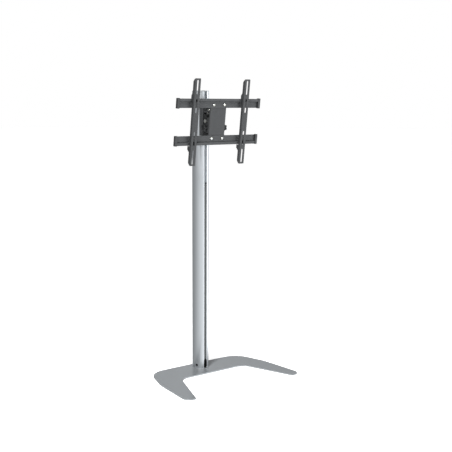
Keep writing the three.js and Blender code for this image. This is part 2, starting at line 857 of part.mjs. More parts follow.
// The curved slot that lets the lock bolt travel, in [forward, up].
function lockSlot() {
  const radius = lockBoltRadius + lockSlotFit;
  const from = backwardTilt - slotMargin - Math.PI / 2;
  const to = forwardTilt + slotMargin - Math.PI / 2;
  const outer = arc(0, 0, lockRadius + radius, from, to);
  const inner = arc(0, 0, lockRadius - radius, to, from);
  const endOf = (angle, turn) => arc(
    lockRadius * Math.cos(angle), lockRadius * Math.sin(angle), radius, angle + turn, angle + turn + Math.PI,
  ).slice(1, -1);
  return [...outer, ...endOf(to, 0), ...inner, ...endOf(from, Math.PI)];
}

function tiltFlange(left, right) {
  return sidePrism(rounded([
    [tiltPlateBack + overrun, flangeTop],
    [-noseRadius, flangeTop, noseRadius],
    [-noseRadius, flangeBottom, noseRadius],
    [tiltPlateBack + overrun, flangeBottom - lobeRadius],
  ]), left, right);
}

function railBoltUp(side) {
  return side * (railHalfSpacing - railBoltInner);
}

function tiltPlate() {
  const half = tiltPlateHalfHeight;
  const plate = frontPrism(rounded([
    [-flangeOuter, -half, tiltPlateRound], [flangeOuter, -half, tiltPlateRound],
    [flangeOuter, half, tiltPlateRound], [-flangeOuter, half, tiltPlateRound],
  ]), tiltPlateBack, tiltPlateFront);
  const body = join(plate, tiltFlange(-flangeOuter, -flangeInner), tiltFlange(flangeInner, flangeOuter));
  const axleBore = circle(0, 0, axleRadius + slipFit);
  const tools = [
    sidePrism(axleBore, -cheekSpan, cheekSpan),
    sidePrism(lockSlot(), -cheekSpan, cheekSpan),
  ];
  for (const side of [-1, 1]) {
    for (const x of [-railBoltHalfSpacing, railBoltHalfSpacing]) {
      const hole = circle(x, railBoltUp(side), railBoltRadius + threadFit);
      tools.push(frontPrism(hole, tiltPlateBack - overrun, tiltPlateFront + overrun));
    }
  }
  return cut(body, ...tools);
}

// A hook rail's section in [forward, up]; side is 1 for the upper rail and -1 for the lower one.
function railSection(side) {
  const points = [
    [0, -railWebInner], [railGauge, -railWebInner], [railGauge, railWebOuter],
    [railJoggle + railGauge, railWebOuter], [railJoggle + railGauge, railWebOuter + railLip],
    [railJoggle, railWebOuter + railLip], [railJoggle, railWebOuter + railGauge],
    [0, railWebOuter + railGauge],
  ];
  return points.map(([forward, up]) => (
    new THREE.Vector2(railBack + forward, side * (railHalfSpacing + up))
  ));
}

function hookRail(side) {
  const rail = sidePrism(railSection(side), -railLength / 2, railLength / 2);
  const holes = [-railBoltHalfSpacing, railBoltHalfSpacing].map((x) => {
    const hole = circle(x, railBoltUp(side), railBoltRadius + slipFit);
    return frontPrism(hole, railBack - overrun, railBack + railGauge + overrun);
  });
  return cut(rail, ...holes);
}

// An end cap: a rounded block with a pocket that the rail's end slips into.
function railCap(side, end) {
  const wall = railCapWall + slipFit;
  const low = side * (railHalfSpacing - railWebInner - wall);
  const high = side * (railHalfSpacing + railWebOuter + railLip + wall);
  const back = railBack - wall;
  const front = lipFront + wall;
  const outline = rounded([
    [back, low, railCapRound], [front, low, railCapRound],
    [front, high, railCapRound], [back, high, railCapRound],
  ]);
  const closed = railLength / 2 + seatGap + railCapWall;
  const open = closed - railCapLength;
  const rim = railSection(side);
  const grown = [-slipFit, slipFit].flatMap((forward) => [-slipFit, slipFit].map((up) => (
    rim.map((point) => new THREE.Vector2(point.x + forward, point.y + up))
  )));
  const span = (from, to) => (end > 0 ? [from, to] : [-to, -from]);
  const block = sidePrism(outline, ...span(open, closed));
  const pocket = span(open - overrun, railLength / 2 + seatGap);
  return cut(block, ...grown.map((section) => sidePrism(section, ...pocket)));
}

function railBolt(x, side) {
  const seat = railBack + railGauge + seatGap;
  const length = seat - tiltPlateBack + railBoltTail;
  return headedScrew(
    railBoltRadius, railBoltHeadRadius, railBoltHeadHeight, length,
    railBoltSocketRadius, railBoltSocketDepth, FORWARD,
  ).translate(x, -seat, railBoltUp(side));
}

// Arms

// One folded side of an arm in [forward, up]: the hook above, the screw's lobe below.
function armFlange(left, right) {
  const lipTop = lipEnd + slipFit + seatGap;
  const hookFront = hookBack + hookTip;
  const lobeTop = -lipEnd - lobeClearance;
  const lobeLow = tabTop - tabThickness - tabReach;
  const lobeBack = safetyForward - tabReach;
  return sidePrism(rounded([
    [armWebBack + armGauge / 2, armHalfHeight - armGauge],
    [armBack, armHalfHeight - armShoulder],
    [armBack, lipTop + hookTop + hookSlope],
    [hookBack, lipTop + hookTop, armGauge],
    [hookBack, lipTop - hookDrop, seatGap],
    [hookFront, lipTop - hookDrop, seatGap],
    [hookFront, lipTop],
    [armBack, lipTop],
    [armBack, lobeTop],
    [lobeBack, lobeTop, armGauge],
    [lobeBack, lobeLow, armGauge],
    [armBack, lobeLow - hookSlope],
    [armBack, -armHalfHeight + armShoulder],
    [armWebBack + armGauge / 2, -armHalfHeight + armGauge],
  ]), left, right);
}

// Middles of an arm's slots: the outer pair ends at the wide pattern, the inner pair at the narrow one.
function armSlotPlaces() {
  const outer = outerHoleSpacing / 2 + armSlotWidth / 2 - armSlotLength / 2;
  const inner = innerHoleSpacing / 2 - armSlotWidth / 2 + armSlotLength / 2;
  return [-outer, -inner, inner, outer];
}

function arm() {
  const half = armWidth / 2;
  const web = frontPrism(rounded([
    [-half, -armHalfHeight, armRound], [half, -armHalfHeight, armRound],
    [half, armHalfHeight, armRound], [-half, armHalfHeight, armRound],
  ]), armWebBack, armFront);
  const inner = half - armGauge;
  const tabHalf = half - armGauge / 2;
  const tabOutline = rectangle(-tabHalf, tabHalf, safetyForward - tabReach, armWebBack);
  const tab = planPrism(tabOutline, tabTop - tabThickness, tabTop);
  const body = join(web, armFlange(-half, -inner), armFlange(inner, half), tab);
  const slots = armSlotPlaces().map((up) => (
    frontPrism(uprightSlot(0, up, armSlotWidth, armSlotLength), armWebBack - overrun, armFront + overrun)
  ));
  const screwHole = circle(0, safetyForward, safetyRadius + threadFit);
  return cut(body, ...slots, planPrism(screwHole, tabTop - tabThickness - overrun, tabTop + overrun));
}

// A thumb screw that points up: its knurled head is under the tab and its tip behind the rail's lip.
function safetyScrew() {
  const seat = tabTop - tabThickness - seatGap;
  const tip = -lipEnd + safetyReach;
  const shank = turned([
    [0, seat - safetyHeadHeight / 2], [safetyRadius, seat - safetyHeadHeight / 2],
    [safetyRadius, tip - safetyTip], [safetyRadius - safetyTip, tip], [0, tip],
  ], UP);
  const head = planPrism(
    circle(0, 0, safetyHeadRadius, safetySides), seat - safetyHeadHeight, seat, safetyTip,
  );
  return join(shank, head).translate(0, -safetyForward, 0);
}

// Assembly

const stand = new THREE.Group();
const foot = group(stand, 0, -columnAxisY, 0);

add(foot, 'base_plate', basePlate(), platePaint);
padPlaces().forEach(([x, forward], index) => {
  add(foot, `foot_pad_${index + 1}`, footPad(), padRubber, x, forward);
});
add(foot, 'foot_block', footBlock(), zincSteel);
baseBoltPlaces().forEach(([x, forward], index) => {
  const bolt = countersunkScrew(
    baseBoltRadius, baseBoltHeadRadius, baseBoltLength, baseBoltSocketRadius, baseBoltSocketDepth,
  );
  add(foot, `base_bolt_${index + 1}`, bolt, zincSteel, x, forward, padThickness + baseBoltSink);
});
add(foot, 'column_screw_left', setScrew(-1), blackSteel);
add(foot, 'column_screw_right', setScrew(1), blackSteel);

add(foot, 'column', column(), anodised);
add(foot, 'outlet_liner', outletLiner(), blackPlastic);
add(foot, 'front_cover_strip', frontCoverStrip(), stripPlastic);
add(foot, 'rear_cover_strip', rearCoverStrip(), stripPlastic);
add(foot, 'column_cap', columnCap(), capPlastic);
add(foot, 'cap_screw_left', capScrew(), blackSteel, -portOffset, 0, columnTop + capEdge);
add(foot, 'cap_screw_right', capScrew(), blackSteel, portOffset, 0, columnTop + capEdge);

const slide = group(foot, 0, 0, mountHeight);
add(slide, 'carriage', carriage(), blackPaint);
add(slide, 'slot_nut_upper', slotNut(), zincSteel, 0, 0, clampHalfSpacing);
add(slide, 'slot_nut_lower', slotNut(), zincSteel, 0, 0, -clampHalfSpacing);
add(slide, 'clamp_screw_upper', clampScrew(), blackSteel, 0, 0, clampHalfSpacing);
add(slide, 'clamp_screw_lower', clampScrew(), blackSteel, 0, 0, -clampHalfSpacing);

const swivel = group(slide, 0, swivelForward, 0);
add(swivel, 'swivel_head', swivelHead(), blackPaint);
add(swivel, 'swivel_pin', swivelPin(), zincSteel);
add(swivel, 'swivel_nut', swivelNut(), zincSteel);
add(swivel, 'swivel_washer_upper', swivelWasher(), whiteNylon, 0, 0, washerInner);
add(swivel, 'swivel_washer_lower', swivelWasher(), whiteNylon, 0, 0, -washerInner - washerThickness);

const pivot = group(swivel, 0, tiltForward, 0);
add(pivot, 'tilt_axle', tiltAxle(), zincSteel);
add(pivot, 'tilt_axle_nut', tiltAxleNut(), zincSteel);
add(pivot, 'tilt_bush_right', tiltBush(), whiteNylon);
add(pivot, 'tilt_bush_left', tiltBush().rotateZ(Math.PI), whiteNylon);
add(pivot, 'tilt_lock_bolt_right', lockBolt(RIGHT), zincSteel, 0, 0, -lockRadius);
add(pivot, 'tilt_lock_bolt_left', lockBolt(LEFT), zincSteel, 0, 0, -lockRadius);
add(pivot, 'tilt_knob_right', starKnob(1), blackPlastic, 0, 0, -lockRadius);
add(pivot, 'tilt_knob_left', starKnob(-1), blackPlastic, 0, 0, -lockRadius);

const frame = group(pivot, 0, 0, 0);
frame.rotation.x = restTilt;
add(frame, 'tilt_plate', tiltPlate(), blackPaint);
add(frame, 'rail_upper', hookRail(1), blackPaint);
add(frame, 'rail_lower', hookRail(-1), blackPaint);
[[1, -1], [1, 1], [-1, -1], [-1, 1]].forEach(([side, end], index) => {
  add(frame, `rail_cap_${index + 1}`, railCap(side, end), blackPlastic);
  add(frame, `rail_bolt_${index + 1}`, railBolt(end * railBoltHalfSpacing, side), zincSteel);
});
add(frame, 'arm_left', arm(), blackPaint, -armOffset);
add(frame, 'arm_right', arm(), blackPaint, armOffset);
add(frame, 'safety_screw_left', safetyScrew(), zincSteel, -armOffset);
add(frame, 'safety_screw_right', safetyScrew(), zincSteel, armOffset);

export default stand;
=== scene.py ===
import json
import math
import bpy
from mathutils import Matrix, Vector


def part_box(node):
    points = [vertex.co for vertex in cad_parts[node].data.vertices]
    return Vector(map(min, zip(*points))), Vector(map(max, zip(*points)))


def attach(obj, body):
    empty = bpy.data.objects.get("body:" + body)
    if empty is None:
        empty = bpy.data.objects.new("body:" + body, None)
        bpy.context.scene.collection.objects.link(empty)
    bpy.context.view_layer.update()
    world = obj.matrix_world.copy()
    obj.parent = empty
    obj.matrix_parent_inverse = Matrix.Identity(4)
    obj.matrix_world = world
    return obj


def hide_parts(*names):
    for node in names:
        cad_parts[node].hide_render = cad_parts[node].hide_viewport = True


bl_info = {
    "name": "Floor stand",
    "version": (1, 0, 0),
    "blender": (4, 5, 0),
    "location": "View3D > Sidebar > Floor stand",
    "description": "Builds the fine forms and finishes of a floor stand with a mounting head",
    "category": "Object",
}

import bmesh
import bpy
import numpy as np
from bpy.props import FloatProperty, FloatVectorProperty, IntProperty, PointerProperty
from mathutils import Matrix, Vector

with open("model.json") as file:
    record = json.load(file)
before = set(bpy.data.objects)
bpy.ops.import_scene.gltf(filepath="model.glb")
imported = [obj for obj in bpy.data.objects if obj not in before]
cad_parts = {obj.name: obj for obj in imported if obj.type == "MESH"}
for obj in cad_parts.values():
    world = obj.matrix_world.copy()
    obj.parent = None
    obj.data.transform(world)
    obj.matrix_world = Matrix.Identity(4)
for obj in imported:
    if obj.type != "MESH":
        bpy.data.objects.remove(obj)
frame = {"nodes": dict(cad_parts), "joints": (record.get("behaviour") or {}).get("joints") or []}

# Units, tolerances and counts
MM = 0.001
ARC_STEP = math.radians(6)
FINE_ARC_STEP = math.radians(2.5)
SOFT_ARC_STEP = math.radians(12)
HEAD_ARC_STEP = math.radians(15)
PIN_ARC_STEP = math.radians(18)
ROD_ARC_STEP = math.radians(30)
SHARP_ANGLE = math.radians(35)
EASED_ANGLE = math.radians(50)
EDGE_RINGS = 3
WELD = 0.002 * MM
SEAL = 0.001 * MM
ROUND_SIDES = 48
OVERRUN = 2 * MM
HAIR = 0.05 * MM
SEAT_EDGE = 0.2 * MM
FINE_EDGE = 0.3 * MM
SMALL_EDGE = 0.6 * MM
RELIEF = 2 * MM
THREAD_DEPTH = 0.54
THREAD_START = 0.5 * MM
MITRE_LIMIT = 0.3
NUT_SLOPE = math.radians(30)
NUT_CHAMFER = 1.2
NUT_RIM = 0.97
CUT, JOIN, KEEP = "DIFFERENCE", "UNION", "INTERSECT"

# Places that the frame gives, in metres
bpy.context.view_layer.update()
PLATE_LOW, PLATE_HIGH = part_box("base_plate")
COLUMN_LOW, COLUMN_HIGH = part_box("column")
JOINTS = {joint["name"]: joint for joint in frame["joints"]}
COLUMN_Y = (COLUMN_LOW.y + COLUMN_HIGH.y) / 2
SWIVEL_AXIS = Vector(JOINTS["swivel_hinge"]["pos_m"])
TILT_AXIS = Vector(JOINTS["tilt_hinge"]["pos_m"])
SCREW_AXIS = JOINTS["safety_left_slide"]["axis"]
LEAN = math.atan2(SCREW_AXIS[1], -SCREW_AXIS[2])
MOUNT_Z = SWIVEL_AXIS.z

FOOT = Matrix.Translation((0, COLUMN_Y, 0))
SADDLE = Matrix.Translation((0, COLUMN_Y, MOUNT_Z))
SWIVEL = Matrix.Translation(SWIVEL_AXIS)
PIVOT = Matrix.Translation(TILT_AXIS)
HEAD = PIVOT @ Matrix.Rotation(LEAN, 4, "X")

# Base plate: half widths from the middle, places forward of the column's axis
REAR_REACH = 56 * MM
FRONT_REACH = 397 * MM
TIP_OUTER = 355.5 * MM
TIP_INNER = 301 * MM
REAR_CORNER = 276 * MM
FLANK = 333 * MM
FLANK_FORWARD = 128 * MM
CROTCH = 199 * MM
CROTCH_FORWARD = 114 * MM
REAR_RADIUS = 104 * MM
FLANK_RADIUS = 273 * MM
TIP_OUTER_RADIUS = 40 * MM
TIP_INNER_RADIUS = 8.5 * MM
CROTCH_RADIUS = 65 * MM

# Foot: pads, bolts and set screws
PAD_RADIUS = 15 * MM
PAD_LIP = 1.2 * MM
PAD_DISH = 0.8 * MM
PAD_DISH_SHARE = 0.62
PAD_RIM_SHARE = 0.7
PAD_EDGE = 0.4 * MM
BOLT_HALF_X = 16 * MM
BOLT_HALF_FORWARD = 14 * MM
BOLT_RADIUS = 4 * MM
BOLT_HEAD = 7.8 * MM
BOLT_LENGTH = 24 * MM
BOLT_SINK = 0.3 * MM
BOLT_SOCKET = (2.9 * MM, 3 * MM)
BOLT_PLACES = [(x * BOLT_HALF_X, forward * BOLT_HALF_FORWARD) for x in (-1, 1) for forward in (-1, 1)]
SET_SCREW_ANGLE = math.radians(66)
SET_SCREW_HEIGHT = 16.5 * MM
SET_SCREW_RADIUS = 4 * MM
SET_SCREW_LENGTH = 11 * MM
SET_SCREW_SINK = 0.4 * MM
SET_SCREW_EDGE = 0.5 * MM
SET_SCREW_PLAY = 0.1 * MM
SET_SCREW_COLLAR = (7 * MM, 0.8 * MM)
SET_SCREW_SOCKET = (2.5 * MM, 3.5 * MM)
HOLE_FIT = 0.3 * MM

# Column: an oval extrusion with a slotted channel in front and behind
HALF_WIDTH = 40 * MM
HALF_DEPTH = 47 * MM
COLUMN_WALL = 2.6 * MM
SLOT_HALF = 7.5 * MM
LIP_INNER = 41 * MM
CHANNEL_HALF = 14 * MM
CHANNEL_BACK = 26 * MM
CHANNEL_WALL = 2 * MM
PORT_RADIUS = 5 * MM
PORT_BORE = 2.3 * MM
PORT_X = 33.5 * MM
LIP_EDGE = HALF_DEPTH * math.sqrt(1 - (SLOT_HALF / HALF_WIDTH) ** 2)
LIP_SHARE = 1.6
COLUMN_SIDES = 240
LINER_WALL = 1.5 * MM
LINER_EDGE = 0.4 * MM

# Cover strips and cap
STRIP_HALF = SLOT_HALF - HOLE_FIT
STRIP_RECESS = 0.4 * MM
STRIP_CROWN = 0.2 * MM
STRIP_SKIN = 2.5 * MM
STRIP_LEG = 1.8 * MM
STRIP_EDGE = 0.5 * MM
STRIP_INNER_EDGE = 0.4 * MM
BARB_REACH = 2 * MM
BARB_HEIGHT = 1.5 * MM
BARB_TAPER = 2.7 * MM
CAP_EDGE = 3 * MM
CAP_CROWN = 2 * MM
CAP_ROUND = 2 * MM
CAP_RIM_ROUND = 1.6 * MM
CAP_CROWN_SHARES = (0.95, 0.85, 0.7, 0.5, 0.3, 0.15)
CAP_SCREW_HEAD = 4 * MM
CAP_SCREW_RADIUS = 2 * MM
CAP_SCREW_LENGTH = 22 * MM
CAP_SCREW_SLOT = (0.6 * MM, 1 * MM)
PLUG_DEPTH = 9 * MM
PLUG_WALL = 2.2 * MM

# Height carriage, with places forward of the column's axis and up from the mount's middle
SADDLE_HALF = 30 * MM
SADDLE_FRONT = 60 * MM
SADDLE_WRAP = 20 * MM
SADDLE_ROUND = 6 * MM
SADDLE_HALF_HEIGHT = 75 * MM
SADDLE_FIT = 0.4 * MM
KEY_DEPTH = 5 * MM
LUG_INNER = 40 * MM
LUG_THICKNESS = 10 * MM
LUG_ROOT_HALF = 24 * MM
LUG_RADIUS = 16 * MM
CLAMP_UP = 64 * MM
CLAMP_HEAD = 6.5 * MM
CLAMP_HEAD_HEIGHT = 8 * MM
CLAMP_RADIUS = 4 * MM
CLAMP_REACH = 8 * MM
CLAMP_SOCKET = (3.4 * MM, 4 * MM)
CLAMP_CROWN = 0.1
SWIVEL_FORWARD = COLUMN_Y - SWIVEL_AXIS.y

# Swivel head, with places forward of the swivel pin
PIN_RADIUS = 6 * MM
PIN_HEAD = 10 * MM
PIN_HEAD_HEIGHT = 5 * MM
PIN_HEAD_ROUND = 1.2 * MM
PIN_NUT = 10.9 * MM
PIN_NUT_HEIGHT = 10 * MM
PIN_TAIL = 3 * MM
WASHER_RADIUS = 15 * MM
WASHER_THICKNESS = 1.2 * MM
RUN_GAP = 0.2 * MM
SEAT_GAP = 0.3 * MM
BARREL_RADIUS = 16 * MM
BARREL_SIDES = 96
BARREL_HALF = LUG_INNER - 2 * RUN_GAP - WASHER_THICKNESS
WEB_HALF = 11 * MM
PLATE_BACK = 19 * MM
PLATE_THICKNESS = 5 * MM
PLATE_TOP = 30 * MM
PLATE_BOTTOM = -56 * MM
PLATE_ROUND = 3 * MM
CHEEK_OUTER = 44 * MM
CHEEK_INNER = 40 * MM
CHEEK_ROUND = 8 * MM
CHEEK_EDGE_SHARE = 0.6
TILT_FORWARD = SWIVEL_AXIS.y - TILT_AXIS.y
NOSE = 14 * MM
LOBE = 10 * MM
LOCK_RADIUS = 34 * MM
LOCK_BOLT = 4 * MM
AXLE_RADIUS = 5 * MM
AXLE_HEAD = 9.8 * MM
AXLE_HEAD_HEIGHT = 6.4 * MM
AXLE_NUT_HEIGHT = 8 * MM
BUSH_WALL = 2 * MM
BUSH_FLANGE = 11 * MM
DOME_RADIUS = 8 * MM
DOME_HEIGHT = 3.6 * MM
DOME_EDGE = 0.5 * MM
DOME_TOP_SHARE = 0.55
DOME_ROUND_SHARE = 0.4
FLANGE_INNER = 45.9 * MM
FLANGE_OUTER = 49.9 * MM

# Knobs
KNOB_HUB = 9 * MM
KNOB_HUB_HEIGHT = 6 * MM
KNOB_HUB_EDGE = 0.5 * MM
KNOB_HEIGHT = 13 * MM
KNOB_MEAN = 15 * MM
KNOB_LOBE = 2.2 * MM
KNOB_LOBES = 5
KNOB_SOFTNESS = 0.36
KNOB_GRID = (120, 36)
KNOB_OVERLAP = 2 * MM

# Tilt frame, with places forward of the tilt axle and turned with it
TILT_BACK = 24 * MM
TILT_FRONT = 28 * MM
TILT_HALF_HEIGHT = 100 * MM
TILT_ROUND = 8 * MM
FLANGE_TOP = 18 * MM
FLANGE_BOTTOM = -48 * MM
LOCK_FORWARD = math.radians(16.2)
LOCK_BACKWARD = math.radians(-6.2)
LOCK_FIT = 0.4 * MM
RAIL_BACK = 28.3 * MM
RAIL_GAUGE = 3 * MM
RAIL_HALF_LENGTH = 250 * MM
RAIL_UP = 88 * MM
RAIL_WEB_INNER = 20 * MM
RAIL_WEB_OUTER = 10 * MM
RAIL_JOGGLE = 7 * MM
RAIL_LIP = 16 * MM
RAIL_BOLT_X = 32 * MM
RAIL_BOLT_UP = 83 * MM
RAIL_BOLT_HEAD = 7 * MM
RAIL_BOLT_HEIGHT = 4.2 * MM
RAIL_BOLT_RADIUS = 4 * MM
RAIL_BOLT_TAIL = 4 * MM
RAIL_BOLT_SOCKET = (2.9 * MM, 2.4 * MM)
RAIL_BOLT_CROWN = 0.8
RAIL_CAP_LENGTH = 14 * MM
RAIL_CAP_WALL = 1.5 * MM
RAIL_CAP_ROUND = 1.8 * MM
RAIL_CAP_EDGE = 0.8 * MM

# Arms
ARM_X = 150 * MM
ARM_HALF = 18 * MM
ARM_GAUGE = 2.5 * MM
ARM_FRONT = 52.5 * MM
ARM_BACK = 39 * MM
ARM_HALF_HEIGHT = 212 * MM
ARM_ROUND = 6 * MM
ARM_SHOULDER = 15 * MM
ARM_SLOT_UPS = (-170.25 * MM, -79.75 * MM, 79.75 * MM, 170.25 * MM)
ARM_SLOT_HALF_WIDTH = 4.25 * MM
ARM_SLOT_HALF_LENGTH = 34 * MM
LIP_END = 114 * MM
LIP_TOP = 114.6 * MM
HOOK_BACK = 29.8 * MM
HOOK_TIP = 4.8 * MM
HOOK_DROP = 11 * MM
HOOK_TOP = 15 * MM
HOOK_SLOPE = 12 * MM
HOOK_ROUND = 3 * MM
LOBE_CLEARANCE = 3 * MM
TAB_TOP = -124 * MM
TAB_THICKNESS = 4 * MM
TAB_REACH = 6 * MM
SAFETY_FORWARD = 30.8 * MM
SAFETY_RADIUS = 3 * MM
SAFETY_HEAD = 6.4 * MM
SAFETY_HEAD_HEIGHT = 8 * MM
SAFETY_TIP = -103 * MM
SAFETY_RIBS = 28
SAFETY_KNURL = 0.2 * MM
SAFETY_SOFTNESS = 0.22
SAFETY_GRID = (168, 24)
SAFETY_POINT = 3 * MM
SAFETY_POINT_EDGE = 0.4 * MM
SAFETY_PITCH = 1 * MM

# Stage: the photograph's camera, with its lens and sensor in millimetres, and the studio's light
CAMERA_PLACE = (-2.5163, -3.4142, 1.4036)
CAMERA_HEADING = math.radians(36.794)
CAMERA_PITCH = math.radians(8.386)
CAMERA_ROLL = math.radians(0.275)
CAMERA_LENS = 68.18
CAMERA_SENSOR = 36
FLOOR_RADIUS = 40
FLOOR_SIDES = 96
FLOOR_DEPTH = 20 * MM
FLOOR_PATCH = 1 / 3
FLOOR_TONES = (0.86, 0.88)
FLOOR_GLOW = 0.93
STUDIO_TINT = "#f9fcff"
WALL_DARK = 0.31
WALL_RISE = 0.74
WALL_BRIGHT_SIDE = math.radians(-84)
WALL_TOP = (0.1, 0.35)
PANEL = (math.radians(-40), 0.0, 3.3, 6.0)
BACKDROP = (math.radians(54), math.radians(18), 0.44, 20.0)
KEY_PLACE = (-2.5, -1.6, 4.1)
KEY_SIZE = 0.8
KEY_POWER = 275


def linear(code):
    """Turns an sRGB hex colour into linear RGB."""
    channels = [int(code[place : place + 2], 16) / 255 for place in (1, 3, 5)]
    return [c / 12.92 if c <= 0.04045 else ((c + 0.055) / 1.055) ** 2.4 for c in channels]


class StandForm(bpy.types.PropertyGroup):
    """Edge and bend sizes that a maker would choose."""

    plate_edge: FloatProperty(
        name="Plate edge",
        description="Radius ground on the base plate's edges",
        default=0.9 * MM,
        unit="LENGTH",
    )
    casting_edge: FloatProperty(
        name="Casting edge",
        description="Radius on the edges of the cast head parts",
        default=1.0 * MM,
        unit="LENGTH",
    )
    sheet_edge: FloatProperty(
        name="Sheet edge",
        description="Radius left on deburred sheet edges",
        default=0.35 * MM,
        unit="LENGTH",
    )
    bend_inner: FloatProperty(
        name="Bend radius",
        description="Inner radius of the folded steel parts",
        default=1.2 * MM,
        unit="LENGTH",
    )
    lip_round: FloatProperty(
        name="Lip radius",
        description="Radius on the column's slot lips",
        default=1.4 * MM,
        unit="LENGTH",
    )
    outlet_half_width: FloatProperty(
        name="Outlet half width",
        description="Half width of the cable outlet",
        default=9.5 * MM,
        unit="LENGTH",
    )
    outlet_low: FloatProperty(
        name="Outlet bottom",
        description="Outlet's low end above the plate",
        default=3 * MM,
        unit="LENGTH",
    )
    outlet_high: FloatProperty(
        name="Outlet top",
        description="Outlet's high end above the plate",
        default=50 * MM,
        unit="LENGTH",
    )
    thread_pitch: FloatProperty(
        name="Thread pitch",
        description="Pitch of the screw threads that show",
        default=1.25 * MM,
        unit="LENGTH",
    )
    spin_seed: IntProperty(
        name="Screw spin seed",
        description="Seed for how far each screw is turned",
        default=7,
    )


class StandFinish(bpy.types.PropertyGroup):
    """Colours of the finishes."""

    silver_coat: FloatVectorProperty(
        name="Silver coat",
        description="Base plate's powder coat",
        subtype="COLOR",
        default=linear("#8f9396"),
    )
    anodised: FloatVectorProperty(
        name="Anodised",
        description="Column's natural anodising",
        subtype="COLOR",
        default=linear("#dcdfe1"),
    )
    strip: FloatVectorProperty(
        name="Strip",
        description="Grey of the cover strips",
        subtype="COLOR",
        default=linear("#303334"),
    )
    cap: FloatVectorProperty(
        name="Cap",
        description="Grey of the column's cap",
        subtype="COLOR",
        default=linear("#8c9092"),
    )
    black_coat: FloatVectorProperty(
        name="Black coat",
        description="Head's textured powder coat",
        subtype="COLOR",
        default=linear("#262728"),
    )
    zinc: FloatVectorProperty(
        name="Zinc",
        description="Bright zinc plate",
        subtype="COLOR",
        default=linear("#c9cbcc"),
    )


# Outlines, as arrays of points


def arc(x, y, radius, start, end, step=ARC_STEP):
    """Points on a circle's arc, both ends included."""
    count = max(2, math.ceil(abs(end - start) / step) + 1)
    turns = np.linspace(start, end, count)
    return np.column_stack([x + radius * np.cos(turns), y + radius * np.sin(turns)])


def circle(x, y, radius, sides=ROUND_SIDES):
    return arc(x, y, radius, 0, 2 * math.pi * (1 - 1 / sides), 2 * math.pi / sides)


def rectangle(left, right, low, high):
    return np.array([(left, low), (right, low), (right, high), (left, high)])


def rounded(corners, step=ARC_STEP):
    """A closed outline through corners (x, y, radius), each rounded by an arc tangent to its two sides."""
    points = []
    for index, (x, y, radius) in enumerate(corners):
        corner = np.array((x, y))
        if radius == 0:
            points.append(corner[None])
            continue
        before = np.array(corners[index - 1][:2]) - corner
        after = np.array(corners[(index + 1) % len(corners)][:2]) - corner
        before, after = before / np.linalg.norm(before), after / np.linalg.norm(after)
        half = math.acos(float(before @ after)) / 2
        middle = (before + after) / np.linalg.norm(before + after)
        centre = corner + middle * radius / math.sin(half)
        ends = [corner + side * radius / math.tan(half) - centre for side in (before, after)]
        start, end = (math.atan2(offset[1], offset[0]) for offset in ends)
        sweep = (end - start + math.pi) % (2 * math.pi) - math.pi
        points.append(arc(*centre, radius, start, start + sweep, step))
    return np.concatenate(points)


def box_outline(half_x, low, high, radius):
    """A rectangle about x = 0 with four round corners."""
    return rounded([(x, y, radius) for x, y in rectangle(-half_x, half_x, low, high)])


def upright_slot(x, up, half_width, half_length):
    reach = half_length - half_width
    top = arc(x, up + reach, half_width, 0, math.pi)
    bottom = arc(x, up - reach, half_width, math.pi, 2 * math.pi)
    return np.concatenate([top, bottom])


def ellipse(half_x, half_y, sides=COLUMN_SIDES):
    return circle(0, 0, 1, sides) * (half_x, half_y)


def mirrored(half):
    """A half outline and its mirror image across x = 0, as one loop."""
    return half + [(-x, y, *rest) for x, y, *rest in reversed(half)]


# Meshes. A plane turns an outline's (first, second, depth) to (X, Y, Z), where forward is -Y.
PLANES = {
    "plan": Matrix(((1, 0, 0), (0, -1, 0), (0, 0, 1))),
    "side": Matrix(((0, 0, 1), (-1, 0, 0), (0, 1, 0))),
    "front": Matrix(((1, 0, 0), (0, 0, -1), (0, 1, 0))),
}


def inward(loop):
    """For each point of a loop, the shift that moves both its sides by 1 towards the left."""
    sides = np.roll(loop, -1, 0) - loop
    sides /= np.linalg.norm(sides, axis=1)[:, None]
    after = np.column_stack([-sides[:, 1], sides[:, 0]])
    before = np.roll(after, 1, 0)
    return (before + after) / (1 + (before * after).sum(1)).clip(MITRE_LIMIT)[:, None]


def turned_left(loop, is_outer):
    """The loop, run so that the material lies on its left."""
    following = np.roll(loop, -1, 0)
    area = (loop[:, 0] * following[:, 1] - following[:, 0] * loop[:, 1]).sum()
    return loop if (area > 0) == is_outer else loop[::-1]


def close_mesh(bm, place):
    """Finishes a bmesh as a mesh with its faces pointing out, put in its place."""
    bmesh.ops.recalc_face_normals(bm, faces=bm.faces)
    mesh = bpy.data.meshes.new("part")
    bm.to_mesh(mesh)
    bm.free()
    mesh.transform(place)
    return mesh


def bridge(bm, lower, upper):
    """The faces between two rings that have the same number of points."""
    for index in range(len(lower)):
        after = (index + 1) % len(lower)
        bm.faces.new((lower[index], lower[after], upper[after], upper[index]))


